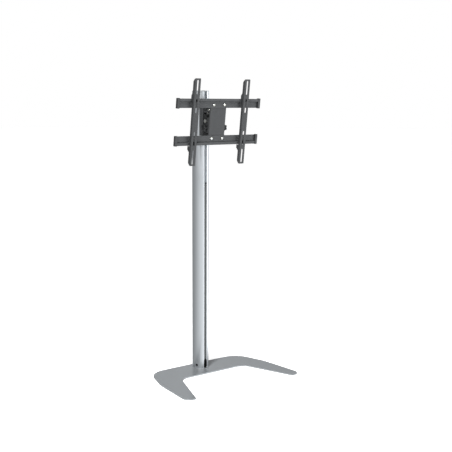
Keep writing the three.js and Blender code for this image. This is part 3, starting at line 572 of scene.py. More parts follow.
def solid(plane, loops, low, high, edge=0.0, place=Matrix.Identity(4)):
    """Extrudes an outline, with any holes after it, between two depths and rounds both ends' edges."""
    bm = bmesh.new()
    turn = PLANES[plane]
    quarter = np.linspace(0, math.pi / 2, EDGE_RINGS + 1) if edge else np.array([math.pi / 2])
    levels = [(edge * (1 - math.sin(a)), low + edge * (1 - math.cos(a))) for a in quarter]
    levels += [(inset, high + low - depth) for inset, depth in reversed(levels)]
    ends = [[], []]
    for number, loop in enumerate(loops):
        loop = turned_left(np.asarray(loop, float), number == 0)
        shift = inward(loop)
        rings = [
            [bm.verts.new(turn @ Vector((*point, depth))) for point in loop + shift * inset]
            for inset, depth in levels
        ]
        for lower, upper in zip(rings, rings[1:]):
            bridge(bm, lower, upper)
        ends[0].append(rings[0])
        ends[1].append(rings[-1])
    for rings in ends:
        if len(rings) == 1:
            bm.faces.new(rings[0])
            continue
        edges = [bm.edges.get((ring[i - 1], ring[i])) for ring in rings for i in range(len(ring))]
        bmesh.ops.triangle_fill(bm, edges=edges, use_beauty=True)
    return close_mesh(bm, place)


def lathe(profile, place=Matrix.Identity(4), sides=ROUND_SIDES, closed=False):
    """Turns a profile of (radius, distance along +Z) from axis to axis, or a closed one off the axis."""
    bm = bmesh.new()
    turns = [2 * math.pi * k / sides for k in range(sides)]
    rings = [
        [bm.verts.new((r * math.cos(a), r * math.sin(a), z)) for a in (turns if r > 0 else turns[:1])]
        for r, z in profile
    ]
    if closed:
        rings.append(rings[0])
    for lower, upper in zip(rings, rings[1:]):
        for k in range(sides):
            corners = [lower[k % len(lower)], lower[(k + 1) % len(lower)]]
            corners += [upper[(k + 1) % len(upper)], upper[k % len(upper)]]
            corners = list(dict.fromkeys(corners))
            if len(corners) > 2:
                bm.faces.new(corners)
    return close_mesh(bm, place)


def turned_piece(corners, step=HEAD_ARC_STEP, place=Matrix.Identity(4), sides=ROUND_SIDES):
    """Turns a profile of corners (radius, distance along +Z, rounding) that starts and ends on the axis."""
    return lathe(rounded(corners, step), place, sides)


def rod(radius, low, high, edge=0.0, place=Matrix.Identity(4), sides=ROUND_SIDES):
    corners = [(0, low, 0), (radius, low, edge), (radius, high, edge), (0, high, 0)]
    return turned_piece(corners, ROD_ARC_STEP, place, sides)


def thread(radius, low, high, pitch, place=Matrix.Identity(4), sides=24, rows=6):
    """A rod whose radius follows a helical thread and runs out at both ends."""
    bm = bmesh.new()
    depth = THREAD_DEPTH * pitch
    count = math.ceil((high - low) / pitch * rows)
    rings = []
    for row in range(count + 1):
        z = low + (high - low) * row / count
        ring = []
        for k in range(sides):
            share = (z / pitch - k / sides) % 1
            runout = min(1, (high - z) / pitch, (z - low) / pitch)
            crest = abs(2 * share - 1)
            r = radius - depth * (1 - crest * runout)
            turn = 2 * math.pi * k / sides
            ring.append(bm.verts.new((r * math.cos(turn), r * math.sin(turn), z)))
        rings.append(ring)
    for lower, upper in zip(rings, rings[1:]):
        bridge(bm, lower, upper)
    bm.faces.new(rings[0])
    bm.faces.new(rings[-1])
    return close_mesh(bm, place)


def along(direction, origin=(0, 0, 0)):
    """The place that turns +Z to a direction."""
    turn = Vector(direction).to_track_quat("Z", "Y").to_matrix().to_4x4()
    return Matrix.Translation(origin) @ turn


def new_object(name, mesh):
    made = bpy.data.objects.new(name, mesh)
    bpy.context.scene.collection.objects.link(made)
    return made


def bake(piece):
    """Applies a piece's modifiers."""
    depsgraph = bpy.context.evaluated_depsgraph_get()
    evaluated = piece.evaluated_get(depsgraph)
    mesh = bpy.data.meshes.new_from_object(evaluated, preserve_all_data_layers=True, depsgraph=depsgraph)
    piece.modifiers.clear()
    piece.data = mesh
    return mesh


def combined(first, *steps):
    """Joins, cuts or intersects meshes in turn: each step is an operation and its mesh."""
    target = new_object("combined", first)
    helpers = []
    for operation, mesh in steps:
        helper = new_object("helper", mesh)
        helpers.append(helper)
        modifier = target.modifiers.new(operation, "BOOLEAN")
        modifier.operation = operation
        modifier.solver = "EXACT"
        modifier.object = helper
    mesh = bake(target)
    for used in (target, *helpers):
        bpy.data.objects.remove(used)
    return mesh


def merged(*meshes):
    """Several meshes as the loose shells of one."""
    bm = bmesh.new()
    for mesh in meshes:
        bm.from_mesh(mesh)
    result = bpy.data.meshes.new("merged")
    bm.to_mesh(result)
    bm.free()
    return result


def eased(mesh, width):
    """Rounds the sharp edges of a cut or folded mesh."""
    target = new_object("eased", mesh)
    modifier = target.modifiers.new("Edges", "BEVEL")
    modifier.width = width
    modifier.segments = 2
    modifier.limit_method = "ANGLE"
    modifier.angle_limit = EASED_ANGLE
    modifier.use_clamp_overlap = False
    modifier.miter_outer = "MITER_ARC"
    result = bake(target)
    bpy.data.objects.remove(target)
    return result


def cleaned(mesh):
    """The mesh without points that coincide and without faces that have no area."""
    bm = bmesh.new()
    bm.from_mesh(mesh)
    bmesh.ops.remove_doubles(bm, verts=bm.verts, dist=WELD)
    bmesh.ops.dissolve_degenerate(bm, edges=bm.edges, dist=WELD)
    bm.to_mesh(mesh)
    bm.free()
    return mesh


def add_piece(name, mesh, body, nodes, slot):
    """Finishes a piece: shading, material, the body that it rides on and the nodes that it replaces."""
    cleaned(mesh)
    mesh.materials.clear()
    mesh.materials.append(finish_of(slot))
    mesh.shade_smooth()
    mesh.set_sharp_from_angle(angle=SHARP_ANGLE)
    piece = new_object(name, mesh)
    shading = piece.modifiers.new("Shading", "WEIGHTED_NORMAL")
    shading.keep_sharp = True
    bake(piece)
    piece.data.name = name
    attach(piece, body)
    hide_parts(*nodes)
    return piece


def refinish(slot, *nodes):
    """Gives carried-over nodes their procedural finish."""
    for name in nodes:
        node = frame["nodes"][name]
        node.data.materials.clear()
        node.data.materials.append(finish_of(slot))


# Node trees


def add_node(tree, kind, settings=None, inputs=None):
    """Adds a node with its settings. An input, by name or number, takes a value, a node or a socket."""
    node = tree.nodes.new(kind)
    for key, value in (settings or {}).items():
        setattr(node, key, value)
    for key, value in (inputs or {}).items():
        source = value.outputs[0] if isinstance(value, bpy.types.Node) else value
        if isinstance(source, bpy.types.NodeSocket):
            tree.links.new(source, node.inputs[key])
        else:
            node.inputs[key].default_value = value
    return node


def new_form_tree(name, kinds):
    """A geometry node tree and its inputs: a geometry, the named ones by their kind, and a material."""
    tree = bpy.data.node_groups.new(name, "GeometryNodeTree")
    for label, kind in {"Geometry": "Geometry", **kinds, "Material": "Material"}.items():
        tree.interface.new_socket(name=label, in_out="INPUT", socket_type=f"NodeSocket{kind}")
    tree.interface.new_socket(name="Geometry", in_out="OUTPUT", socket_type="NodeSocketGeometry")
    return tree, add_node(tree, "NodeGroupInput").outputs


def end_form_tree(tree, given, geometry):
    """Ends a tree in real geometry with its material."""
    real = add_node(tree, "GeometryNodeRealizeInstances", inputs={"Geometry": geometry})
    finish = {"Geometry": real, "Material": given["Material"]}
    add_node(tree, "NodeGroupOutput", inputs={0: add_node(tree, "GeometryNodeSetMaterial", inputs=finish)})


def section_tree():
    """Fills a section's nested outlines, with its holes left open, and extrudes it along +Z."""
    tree, given = new_form_tree("Extruded section", {"Length": "Float"})
    outline = add_node(tree, "GeometryNodeMeshToCurve", inputs={"Mesh": given["Geometry"]})
    face = add_node(tree, "GeometryNodeFillCurve", {"mode": "TRIANGLES"}, {"Curve": outline})
    rise = add_node(tree, "ShaderNodeCombineXYZ", inputs={"Z": given["Length"]})
    sweep = {"Mesh": face, "Offset": rise, "Offset Scale": 1.0, "Individual": False}
    body = add_node(tree, "GeometryNodeExtrudeMesh", {"mode": "FACES"}, sweep)
    underside = add_node(tree, "GeometryNodeFlipFaces", inputs={"Mesh": face})
    whole = add_node(tree, "GeometryNodeJoinGeometry", inputs={"Geometry": body})
    tree.links.new(underside.outputs[0], whole.inputs["Geometry"])
    seal = {"Geometry": whole, "Distance": SEAL}
    end_form_tree(tree, given, add_node(tree, "GeometryNodeMergeByDistance", inputs=seal))


def placing_tree():
    """Puts a piece on each point, its +Z turned to the point's facing and spun by a seeded angle."""
    tree, given = new_form_tree("Pieces on points", {"Piece": "Object", "Spin": "Float", "Seed": "Int"})
    points = add_node(tree, "GeometryNodeMeshToPoints", inputs={"Mesh": given["Geometry"]})
    vector = {"data_type": "FLOAT_VECTOR"}
    facing = add_node(tree, "GeometryNodeInputNamedAttribute", vector, {"Name": "facing"})
    upright = add_node(tree, "FunctionNodeAlignRotationToVector", {"axis": "Z"}, {"Vector": facing})
    limits = {3: given["Spin"], "Seed": given["Seed"]}
    angle = add_node(tree, "FunctionNodeRandomValue", {"data_type": "FLOAT"}, limits).outputs[1]
    spin = add_node(tree, "FunctionNodeAxisAngleToRotation", inputs={"Axis": (0, 0, 1), "Angle": angle})
    both = {"Rotation": upright, "Rotate By": spin}
    rotation = add_node(tree, "FunctionNodeRotateRotation", {"rotation_space": "LOCAL"}, both)
    piece = add_node(tree, "GeometryNodeObjectInfo", inputs={"Object": given["Piece"]})
    copies = {"Points": points, "Instance": piece.outputs["Geometry"], "Rotation": rotation}
    end_form_tree(tree, given, add_node(tree, "GeometryNodeInstanceOnPoints", inputs=copies))


def lobed_tree():
    """A turned body with a superellipse profile whose radius waves around it, as knobs and knurls have."""
    sizes = dict.fromkeys(("Radius", "Lobe Height", "Half Height", "Softness"), "Float")
    counts = dict.fromkeys(("Lobes", "Segments", "Rings"), "Int")
    tree, given = new_form_tree("Lobed body", sizes | counts)
    softness = given["Softness"]
    grid = {"Segments": given["Segments"], "Rings": given["Rings"], "Radius": 1.0}
    ball = add_node(tree, "GeometryNodeMeshUVSphere", inputs=grid)
    position = add_node(tree, "GeometryNodeInputPosition")
    x, y, z = add_node(tree, "ShaderNodeSeparateXYZ", inputs={0: position}).outputs
    flat = add_node(tree, "ShaderNodeCombineXYZ", inputs={"X": x, "Y": y})
    reach = add_node(tree, "ShaderNodeVectorMath", {"operation": "LENGTH"}, {0: flat}).outputs["Value"]
    angle = add_node(tree, "ShaderNodeMath", {"operation": "ARCTAN2"}, {0: y, 1: x})
    phase = add_node(tree, "ShaderNodeMath", {"operation": "MULTIPLY"}, {0: angle, 1: given["Lobes"]})
    wave = add_node(tree, "ShaderNodeMath", {"operation": "COSINE"}, {0: phase})
    waved = {0: wave, 1: given["Lobe Height"], 2: given["Radius"]}
    radius = add_node(tree, "ShaderNodeMath", {"operation": "MULTIPLY_ADD"}, waved)
    bulge = add_node(tree, "ShaderNodeMath", {"operation": "POWER"}, {0: reach, 1: softness})
    out = add_node(tree, "ShaderNodeMath", {"operation": "MULTIPLY"}, {0: radius, 1: bulge})
    bearing = add_node(tree, "ShaderNodeVectorMath", {"operation": "NORMALIZE"}, {0: flat})
    spread = add_node(tree, "ShaderNodeVectorMath", {"operation": "SCALE"}, {0: bearing, "Scale": out})
    size = add_node(tree, "ShaderNodeMath", {"operation": "ABSOLUTE"}, {0: z})
    level = add_node(tree, "ShaderNodeMath", {"operation": "POWER"}, {0: size, 1: softness})
    sign = add_node(tree, "ShaderNodeMath", {"operation": "SIGN"}, {0: z})
    side = add_node(tree, "ShaderNodeMath", {"operation": "MULTIPLY"}, {0: level, 1: sign})
    height = add_node(tree, "ShaderNodeMath", {"operation": "MULTIPLY"}, {0: side, 1: given["Half Height"]})
    rise = add_node(tree, "ShaderNodeCombineXYZ", inputs={"Z": height})
    place = add_node(tree, "ShaderNodeVectorMath", {"operation": "ADD"}, {0: spread, 1: rise})
    shaped = add_node(tree, "GeometryNodeSetPosition", inputs={"Geometry": ball, "Position": place})
    end_form_tree(tree, given, shaped)


def grown(tree, mesh, **values):
    """The mesh that a tree makes of another one, with the tree's inputs set by name."""
    target = new_object("grown", mesh)
    modifier = target.modifiers.new("Form", "NODES")
    modifier.node_group = tree
    for item in tree.interface.items_tree:
        if item.in_out == "INPUT" and item.name in values:
            modifier[item.identifier] = values[item.name]
    result = bake(target)
    bpy.data.objects.remove(target)
    return result


def section_mesh(loops):
    """The outlines of a section in [right, forward], as bare edges."""
    mesh = bpy.data.meshes.new("section")
    points, edges = [], []
    for loop in loops:
        start = len(points)
        points += [(x, -forward, 0) for x, forward in loop]
        edges += [(start + k, start + (k + 1) % len(loop)) for k in range(len(loop))]
    mesh.from_pydata(points, edges, [])
    return mesh


def extruded(loops, low, high, slot, place=Matrix.Identity(4)):
    """A section in [right, forward] run from a low to a high level."""
    tree = bpy.data.node_groups["Extruded section"]
    mesh = grown(tree, section_mesh(loops), Length=high - low, Material=finish_of(slot))
    mesh.transform(place @ Matrix.Translation((0, 0, low)))
    return mesh


def scattered(piece_mesh, places, slot, seed):
    """A mesh of copies of a piece, one for each (point, facing)."""
    prototype = new_object("prototype", piece_mesh)
    points = bpy.data.meshes.new("places")
    points.from_pydata([point for point, _ in places], [], [])
    facing = points.attributes.new("facing", "FLOAT_VECTOR", "POINT")
    facing.data.foreach_set("vector", [value for _, direction in places for value in direction])
    tree = bpy.data.node_groups["Pieces on points"]
    values = {"Piece": prototype, "Spin": 2 * math.pi, "Seed": seed, "Material": finish_of(slot)}
    mesh = grown(tree, points, **values)
    bpy.data.objects.remove(prototype)
    return mesh


def lobed(radius, lobe_height, lobes, height, softness, grid, slot, place):
    """A lobed body about +Z with its middle at 0, then put in its place."""
    values = {
        "Radius": radius,
        "Lobe Height": lobe_height,
        "Lobes": lobes,
        "Half Height": height / 2,
        "Softness": softness,
        "Segments": grid[0],
        "Rings": grid[1],
        "Material": finish_of(slot),
    }
    mesh = grown(bpy.data.node_groups["Lobed body"], bpy.data.meshes.new("seed"), **values)
    mesh.transform(place)
    return mesh


# Finishes


def new_finish(name):
    """An empty material, its node tree and the place on the piece in metres."""
    material = bpy.data.materials.new(name)
    material.use_nodes = True
    tree = material.node_tree
    tree.nodes.clear()
    return material, tree, add_node(tree, "ShaderNodeTexCoord").outputs["Object"]


def end_finish(tree, inputs):
    """Ends a material in its shader, with links and constants on the shader's own sockets."""
    shader = add_node(tree, "ShaderNodeBsdfPrincipled", inputs=inputs)
    add_node(tree, "ShaderNodeOutputMaterial", inputs={"Surface": shader})


def set_tones(ramp, low, high, places=(0, 1)):
    """Gives a colour ramp its two ends."""
    for element, color, place in zip(ramp.color_ramp.elements, (low, high), places):
        element.color = (*color, 1)
        element.position = place


def silver_powder_coat(finish):
    """Silver powder coat on steel, semi gloss: metal flake under a clear film with a light orange peel.

    The flakes are near 0.1 mm and drawn at 1.5 mm, and the peel's waves are 4 mm apart."""
    material, tree, place = new_finish("Silver powder coat")
    flake = add_node(tree, "ShaderNodeTexVoronoi", inputs={"Vector": place, "Scale": 1 / (1.5 * MM)})
    patches = {"Vector": place, "Scale": 1 / (90 * MM), "Detail": 3.0}
    cloud = add_node(tree, "ShaderNodeTexNoise", inputs=patches)
    halves = {0: 0.5, 2: flake.outputs["Color"], 3: cloud}
    tone = add_node(tree, "ShaderNodeMix", {"data_type": "FLOAT"}, halves)
    ramp = add_node(tree, "ShaderNodeValToRGB", inputs={"Fac": tone})
    base = Vector(finish.silver_coat)
    set_tones(ramp, base * 0.93, base * 1.07)
    gloss = add_node(tree, "ShaderNodeMapRange", inputs={"Value": cloud, "To Min": 0.27, "To Max": 0.36})
    waves = {"Vector": place, "Scale": 1 / (4 * MM), "Detail": 1.0}
    peel = add_node(tree, "ShaderNodeTexNoise", inputs=waves)
    relief = {"Height": peel, "Strength": 0.25, "Distance": 0.05 * MM}
    bump = add_node(tree, "ShaderNodeBump", inputs=relief)
    film = {"Metallic": 0.1, "Coat Weight": 0.75, "Coat Roughness": 0.1}
    end_finish(tree, {"Base Color": ramp, "Roughness": gloss, "Normal": bump, **film})
    return material


def anodised_extrusion(finish):
    """Natural anodised aluminium, satin: straight die lines run along the extrusion under a matt oxide.

    Die lines are 0.05 to 0.3 mm wide and drawn 0.8 mm wide, up to 400 mm long."""
    material, tree, place = new_finish("Natural anodised extrusion")
    line = (1 / (0.8 * MM), 1 / (0.8 * MM), 1 / (400 * MM))
    stretch = add_node(tree, "ShaderNodeMapping", inputs={"Vector": place, "Scale": line})
    lines = add_node(tree, "ShaderNodeTexNoise", inputs={"Vector": stretch, "Scale": 1.0, "Detail": 3.0})
    matt = {"Vector": place, "Scale": 1 / (0.6 * MM), "Detail": 2.0}
    oxide = add_node(tree, "ShaderNodeTexNoise", inputs=matt)
    ramp = add_node(tree, "ShaderNodeValToRGB", inputs={"Fac": lines})
    base = Vector(finish.anodised)
    set_tones(ramp, base * 0.95, base * 1.04, (0.3, 0.7))
    mixed = add_node(tree, "ShaderNodeMix", {"data_type": "FLOAT"}, {0: 0.6, 2: oxide, 3: lines})
    gloss = add_node(tree, "ShaderNodeMapRange", inputs={"Value": mixed, "To Min": 0.26, "To Max": 0.4})
    relief = {"Height": mixed, "Strength": 0.2, "Distance": 0.02 * MM}
    bump = add_node(tree, "ShaderNodeBump", inputs=relief)
    end_finish(tree, {"Base Color": ramp, "Roughness": gloss, "Normal": bump, "Metallic": 1.0})
    return material


def grained_finish(name, tones, patch, grain, gloss, relief, ends=(0, 1), metallic=0.0):
    """Colour that clouds over patches, with gloss and relief that follow a fine grain, sizes in metres."""
    material, tree, place = new_finish(name)
    marks = {"Vector": place, "Scale": 1 / grain, "Detail": 3.0}
    fine = add_node(tree, "ShaderNodeTexNoise", inputs=marks)
    patches = {"Vector": place, "Scale": 1 / patch, "Detail": 2.0}
    cloud = add_node(tree, "ShaderNodeTexNoise", inputs=patches)
    ramp = add_node(tree, "ShaderNodeValToRGB", inputs={"Fac": cloud})
    set_tones(ramp, *tones, ends)
    limits = {"Value": fine, "To Min": gloss[0], "To Max": gloss[1]}
    sheen = add_node(tree, "ShaderNodeMapRange", inputs=limits)
    heights = {"Height": fine, "Strength": relief[0], "Distance": relief[1]}
    bump = add_node(tree, "ShaderNodeBump", inputs=heights)
    end_finish(tree, {"Base Color": ramp, "Roughness": sheen, "Normal": bump, "Metallic": metallic})
    return material


def grained_plastic(name, color, grain, roughness, relief):
    """Moulded or extruded plastic: a fine spark-eroded grain that breaks up the gloss, on cloudy colour.

    Real grain is near 0.2 mm, and it is drawn as coarse as it needs to show."""
    base = Vector(color)
    gloss = (roughness - 0.07, roughness + 0.07)
    return grained_finish(name, (base * 0.9, base * 1.1), 40 * MM, grain, gloss, (0.35, relief))


def plated_steel(name, color, warm, roughness, metallic=1.0):
    """Plated or blackened steel fasteners: metal with a faint cloudy tint and fine turning marks.

    Real marks are near 0.05 mm apart, and they are drawn 0.5 mm apart to show."""
    gloss = (roughness - 0.08, roughness + 0.1)
    relief = (0.2, 0.02 * MM)
    return grained_finish(name, (color, warm), 6 * MM, 0.5 * MM, gloss, relief, (0.35, 0.65), metallic)


def textured_black_coat(finish):
    """Black powder coat on cast and folded steel: a fine leathery texture with a low sheen.

    The texture's bumps are 0.9 mm apart and 0.06 mm high, and the film thins to a lighter tone on edges."""
    material, tree, place = new_finish("Black textured powder coat")
    bumps = add_node(tree, "ShaderNodeTexVoronoi", inputs={"Vector": place, "Scale": 1 / (0.9 * MM)})
    patches = {"Vector": place, "Scale": 1 / (14 * MM), "Detail": 4.0}
    dust = add_node(tree, "ShaderNodeTexNoise", inputs=patches)
    edge = add_node(tree, "ShaderNodeNewGeometry").outputs["Pointiness"]
    wear = {"Value": edge, "From Min": 0.52, "From Max": 0.62, "To Max": 0.5}
    worn = add_node(tree, "ShaderNodeMapRange", inputs=wear)
    base = Vector(finish.black_coat)
    plain = add_node(tree, "ShaderNodeValToRGB", inputs={"Fac": dust})
    set_tones(plain, base * 0.85, base * 1.2)
    thinned = {0: worn, 6: plain, 7: (*(base * 2.2), 1)}
    color = add_node(tree, "ShaderNodeMix", {"data_type": "RGBA"}, thinned).outputs[2]
    gloss = add_node(tree, "ShaderNodeMapRange", inputs={"Value": bumps, "To Min": 0.42, "To Max": 0.6})
    relief = {"Height": bumps, "Strength": 0.5, "Distance": 0.06 * MM}
    bump = add_node(tree, "ShaderNodeBump", inputs=relief)
    end_finish(tree, {"Base Color": color, "Roughness": gloss, "Normal": bump})
    return material


def make_finishes(finish):
    """Makes the material of each of the record's slots and marks it with the slot's name."""
    nylon_black, rubber_black, natural = linear("#1f2021"), linear("#2b2b2b"), linear("#dedbd0")
    zinc_warm, oxide_black, oxide_warm = linear("#c4c2b4"), linear("#0f1011"), linear("#0c0b0a")
    made = {
        "plate_paint": silver_powder_coat(finish),
        "anodised": anodised_extrusion(finish),
        "strip_plastic": grained_plastic("Extruded grey plastic", finish.strip, 0.9 * MM, 0.42, 0.02 * MM),
        "cap_plastic": grained_plastic("Moulded grey plastic", finish.cap, 0.7 * MM, 0.45, 0.04 * MM),
        "black_paint": textured_black_coat(finish),
        "black_plastic": grained_plastic("Moulded black nylon", nylon_black, 0.6 * MM, 0.46, 0.05 * MM),
        "rubber": grained_plastic("Black rubber", rubber_black, 1.2 * MM, 0.82, 0.06 * MM),
        "nylon": grained_plastic("Natural nylon", natural, 0.8 * MM, 0.5, 0.02 * MM),
        "zinc": plated_steel("Bright zinc plate", finish.zinc, zinc_warm, 0.28),
        "black_steel": plated_steel("Black oxide steel", oxide_black, oxide_warm, 0.5, 0.2),
    }
    for slot, material in made.items():
        material["slot"] = slot


def finish_of(slot):
    """The material that is marked for one of the record's slots."""
    return next(material for material in bpy.data.materials if material.get("slot") == slot)


# Shapes that several pieces share


def base_outline():
    half = [
        (REAR_CORNER, -REAR_REACH, REAR_RADIUS),
        (FLANK, FLANK_FORWARD, FLANK_RADIUS),
        (TIP_OUTER, FRONT_REACH, TIP_OUTER_RADIUS),
        (TIP_INNER, FRONT_REACH, TIP_INNER_RADIUS),
        (CROTCH, CROTCH_FORWARD, CROTCH_RADIUS),
    ]
    return rounded(mirrored(half), FINE_ARC_STEP)


def column_outline(form):
    """The extrusion's outer outline in [right, forward], with both slotted channels."""
    lip = math.acos(SLOT_HALF / HALF_WIDTH)
    clear = lip - LIP_SHARE * form.lip_round / HALF_WIDTH
    turns = np.linspace(clear, -clear, COLUMN_SIDES // 2)
    flank = [(HALF_WIDTH * math.cos(t), HALF_DEPTH * math.sin(t), 0) for t in turns]
    channel = [
        (SLOT_HALF, -LIP_EDGE, form.lip_round),
        (SLOT_HALF, -LIP_INNER, SMALL_EDGE),
        (CHANNEL_HALF, -LIP_INNER, SMALL_EDGE),
        (CHANNEL_HALF, -CHANNEL_BACK, SMALL_EDGE),
    ]
    rear = mirrored(channel)
    left = [(-x, -forward, radius) for x, forward, radius in flank]
    front = [(-x, -forward, radius) for x, forward, radius in rear]
    return rounded(flank + rear + left + front)


def duct_outline(inset):
    """The hollow between the two channels, round the screw ports, drawn in by an inset."""
    half_x, half_y = HALF_WIDTH - COLUMN_WALL - inset, HALF_DEPTH - COLUMN_WALL - inset
    wall_x, wall_y = CHANNEL_HALF + CHANNEL_WALL + inset, CHANNEL_BACK - CHANNEL_WALL - inset
    port = PORT_RADIUS + inset
    skin = [tuple(p) for p in ellipse(half_x, half_y) if p[0] > wall_x and abs(p[1]) > port]
    post = [tuple(p) for p in circle(PORT_X, 0, port) if p[0] < PORT_X]
    right = [(wall_x, wall_y), *sorted(skin + post, key=lambda p: -p[1]), (wall_x, -wall_y)]
    return np.array(mirrored(right))


def duct_block(inset, low, high):
    """A block that fills the hollow between the two channels, drawn in by an inset."""
    oval = ellipse(HALF_WIDTH - COLUMN_WALL - inset, HALF_DEPTH - COLUMN_WALL - inset)
    reach = CHANNEL_BACK - CHANNEL_WALL - inset
    return solid("plan", [[p for p in oval if abs(p[1]) < reach]], low, high, 0.0, FOOT)


def strip_outline():
    """A cover strip's section: a crowned skin in the slot's mouth and two barbed legs behind it."""
    front = LIP_EDGE - STRIP_RECESS
    barb = LIP_INNER - HOLE_FIT
    tip = barb - BARB_HEIGHT - BARB_TAPER
    inner = STRIP_HALF - STRIP_LEG
    half = [
        (STRIP_HALF / 2, front - STRIP_CROWN / 4, 0),
        (STRIP_HALF, front - STRIP_CROWN, STRIP_EDGE),
        (STRIP_HALF, barb, 0),
        (STRIP_HALF + BARB_REACH, barb, FINE_EDGE),
        (STRIP_HALF + BARB_REACH, barb - BARB_HEIGHT, FINE_EDGE),
        (STRIP_HALF - HOLE_FIT, tip, FINE_EDGE),
        (inner, tip, FINE_EDGE),
        (inner, front - STRIP_SKIN, STRIP_INNER_EDGE),
    ]
    return rounded(mirrored(half))


def rail_outline(side, form):
    """A hook rail's folded section in [forward, up] from the tilt axle; side is 1 above and -1 below."""
    inner, outer, cut = form.bend_inner, form.bend_inner + RAIL_GAUGE, form.sheet_edge
    corners = [
        (0, -RAIL_WEB_INNER, cut),
        (RAIL_GAUGE, -RAIL_WEB_INNER, cut),
        (RAIL_GAUGE, RAIL_WEB_OUTER, inner),
        (RAIL_JOGGLE + RAIL_GAUGE, RAIL_WEB_OUTER, outer),
        (RAIL_JOGGLE + RAIL_GAUGE, RAIL_WEB_OUTER + RAIL_LIP, cut),
        (RAIL_JOGGLE, RAIL_WEB_OUTER + RAIL_LIP, cut),
        (RAIL_JOGGLE, RAIL_WEB_OUTER + RAIL_GAUGE, inner),
        (0, RAIL_WEB_OUTER + RAIL_GAUGE, outer),
    ]
    return rounded([(RAIL_BACK + forward, side * (RAIL_UP + up), edge) for forward, up, edge in corners])


def socket_cut(size, top):
    """A six-sided key socket (radius, depth), cut down from a face."""
    radius, depth = size
    return solid("plan", [circle(0, 0, radius, 6)], top - depth, top + OVERRUN)


def socket_screw(radius, head, length, socket, pitch, crown):
    """A screw on +Z, its head's seat at 0, with a head (radius, height), a key socket and a thread."""
    wide, high = head
    corners = [(0, 0, 0), (wide, 0, SEAT_EDGE), (wide, high, high * crown), (0, high, 0)]
    top = combined(turned_piece(corners), (CUT, socket_cut(socket, high)))
    return merged(top, thread(radius, -length, 0, pitch))


def countersunk_screw(radius, head_radius, length, drive, pitch):
    """A countersunk screw on +Z, its flat face at 0 and its shank below, with a drive shape cut in."""
    cone = head_radius - radius
    head = lathe([(0, -cone - MM), (radius, -cone - MM), (radius, -cone), (head_radius, 0), (0, 0)])
    return merged(combined(head, (CUT, drive)), thread(radius, -length, -cone - THREAD_START, pitch))


def nut(radius, bore, low, high, place=Matrix.Identity(4)):
    """A hexagon nut or bolt head with the chamfer that turning leaves on its corners."""
    across_flats = radius * math.cos(math.pi / 6)
    drop = (radius - across_flats) * math.tan(NUT_SLOPE) * NUT_CHAMFER
    loops = [circle(0, 0, radius, 6)] + ([circle(0, 0, bore)] if bore else [])
    rim, wide = across_flats * NUT_RIM, radius + HAIR
    profile = [(0, low - HAIR), (rim, low - HAIR), (wide, low + drop)]
    profile += [(wide, high - drop), (rim, high + HAIR), (0, high + HAIR)]
    mesh = combined(solid("plan", loops, low, high), (KEEP, lathe(profile)))
    mesh.transform(place)
    return mesh


def set_screw_place(side):
    """The point of the column's skin that a set screw leaves, and its outward direction."""
    sine, cosine = math.sin(SET_SCREW_ANGLE), math.cos(SET_SCREW_ANGLE)
    level = PLATE_HIGH.z + SET_SCREW_HEIGHT
    point = Vector((side * HALF_WIDTH * sine, COLUMN_Y - HALF_DEPTH * cosine, level))
    return point, Vector((side * sine / HALF_WIDTH, -cosine / HALF_DEPTH, 0)).normalized()


def lock_place(side):
    """The place of a tilt lock bolt, with +Z outward along it."""
    return PIVOT @ Matrix.Translation((0, 0, -LOCK_RADIUS)) @ along((side, 0, 0))


# Operators, one for each piece or group of like pieces


class STAND_OT_base_plate(bpy.types.Operator):
    """Builds the steel base plate with its ground edges and its four bolt holes"""

    bl_idname = "stand.base_plate"
    bl_label = "Base plate"

    def execute(self, context):
        form = context.scene.stand_form
        plate = solid("plan", [base_outline()], PLATE_LOW.z, PLATE_HIGH.z, form.plate_edge, FOOT)
        wide, narrow, top = BOLT_HEAD + HOLE_FIT, BOLT_RADIUS + HOLE_FIT, PLATE_HIGH.z
        profile = [(0, -OVERRUN), (wide, -OVERRUN), (wide, BOLT_SINK)]
        profile += [(narrow, BOLT_SINK + wide - narrow), (narrow, top), (0, top)]
        cuts = []
        for x, forward in BOLT_PLACES:
            place = FOOT @ Matrix.Translation((x, -forward, PLATE_LOW.z))
            cuts.append((CUT, lathe(profile, place)))
        add_piece("steel_base_plate", combined(plate, *cuts), "base", ["base_plate"], "plate_paint")
        return {"FINISHED"}


class STAND_OT_foot_pads(bpy.types.Operator):
    """Puts six dished rubber pads under the plate"""

    bl_idname = "stand.foot_pads"
    bl_label = "Foot pads"

    def execute(self, context):
        nodes = [name for name in frame["nodes"] if name.startswith("foot_pad_")]
        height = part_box(nodes[0])[1].z
        corners = [
            (0, PAD_DISH, 0),
            (PAD_RADIUS * PAD_DISH_SHARE, PAD_DISH, PAD_EDGE),
            (PAD_RADIUS * PAD_RIM_SHARE, 0, PAD_EDGE),
            (PAD_RADIUS - PAD_LIP / 2, 0, SMALL_EDGE),
            (PAD_RADIUS, height / 2, 2 * PAD_EDGE),
            (PAD_RADIUS - FINE_EDGE, height, 0),
            (0, height, 0),
        ]
        places = []
        for name in nodes:
            low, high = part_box(name)
            places.append((((low.x + high.x) / 2, (low.y + high.y) / 2, 0), (0, 0, 1)))
        seed = context.scene.stand_form.spin_seed
        pads = scattered(turned_piece(corners), places, "rubber", seed)
        add_piece("rubber_pads", pads, "base", nodes, "rubber")
        return {"FINISHED"}


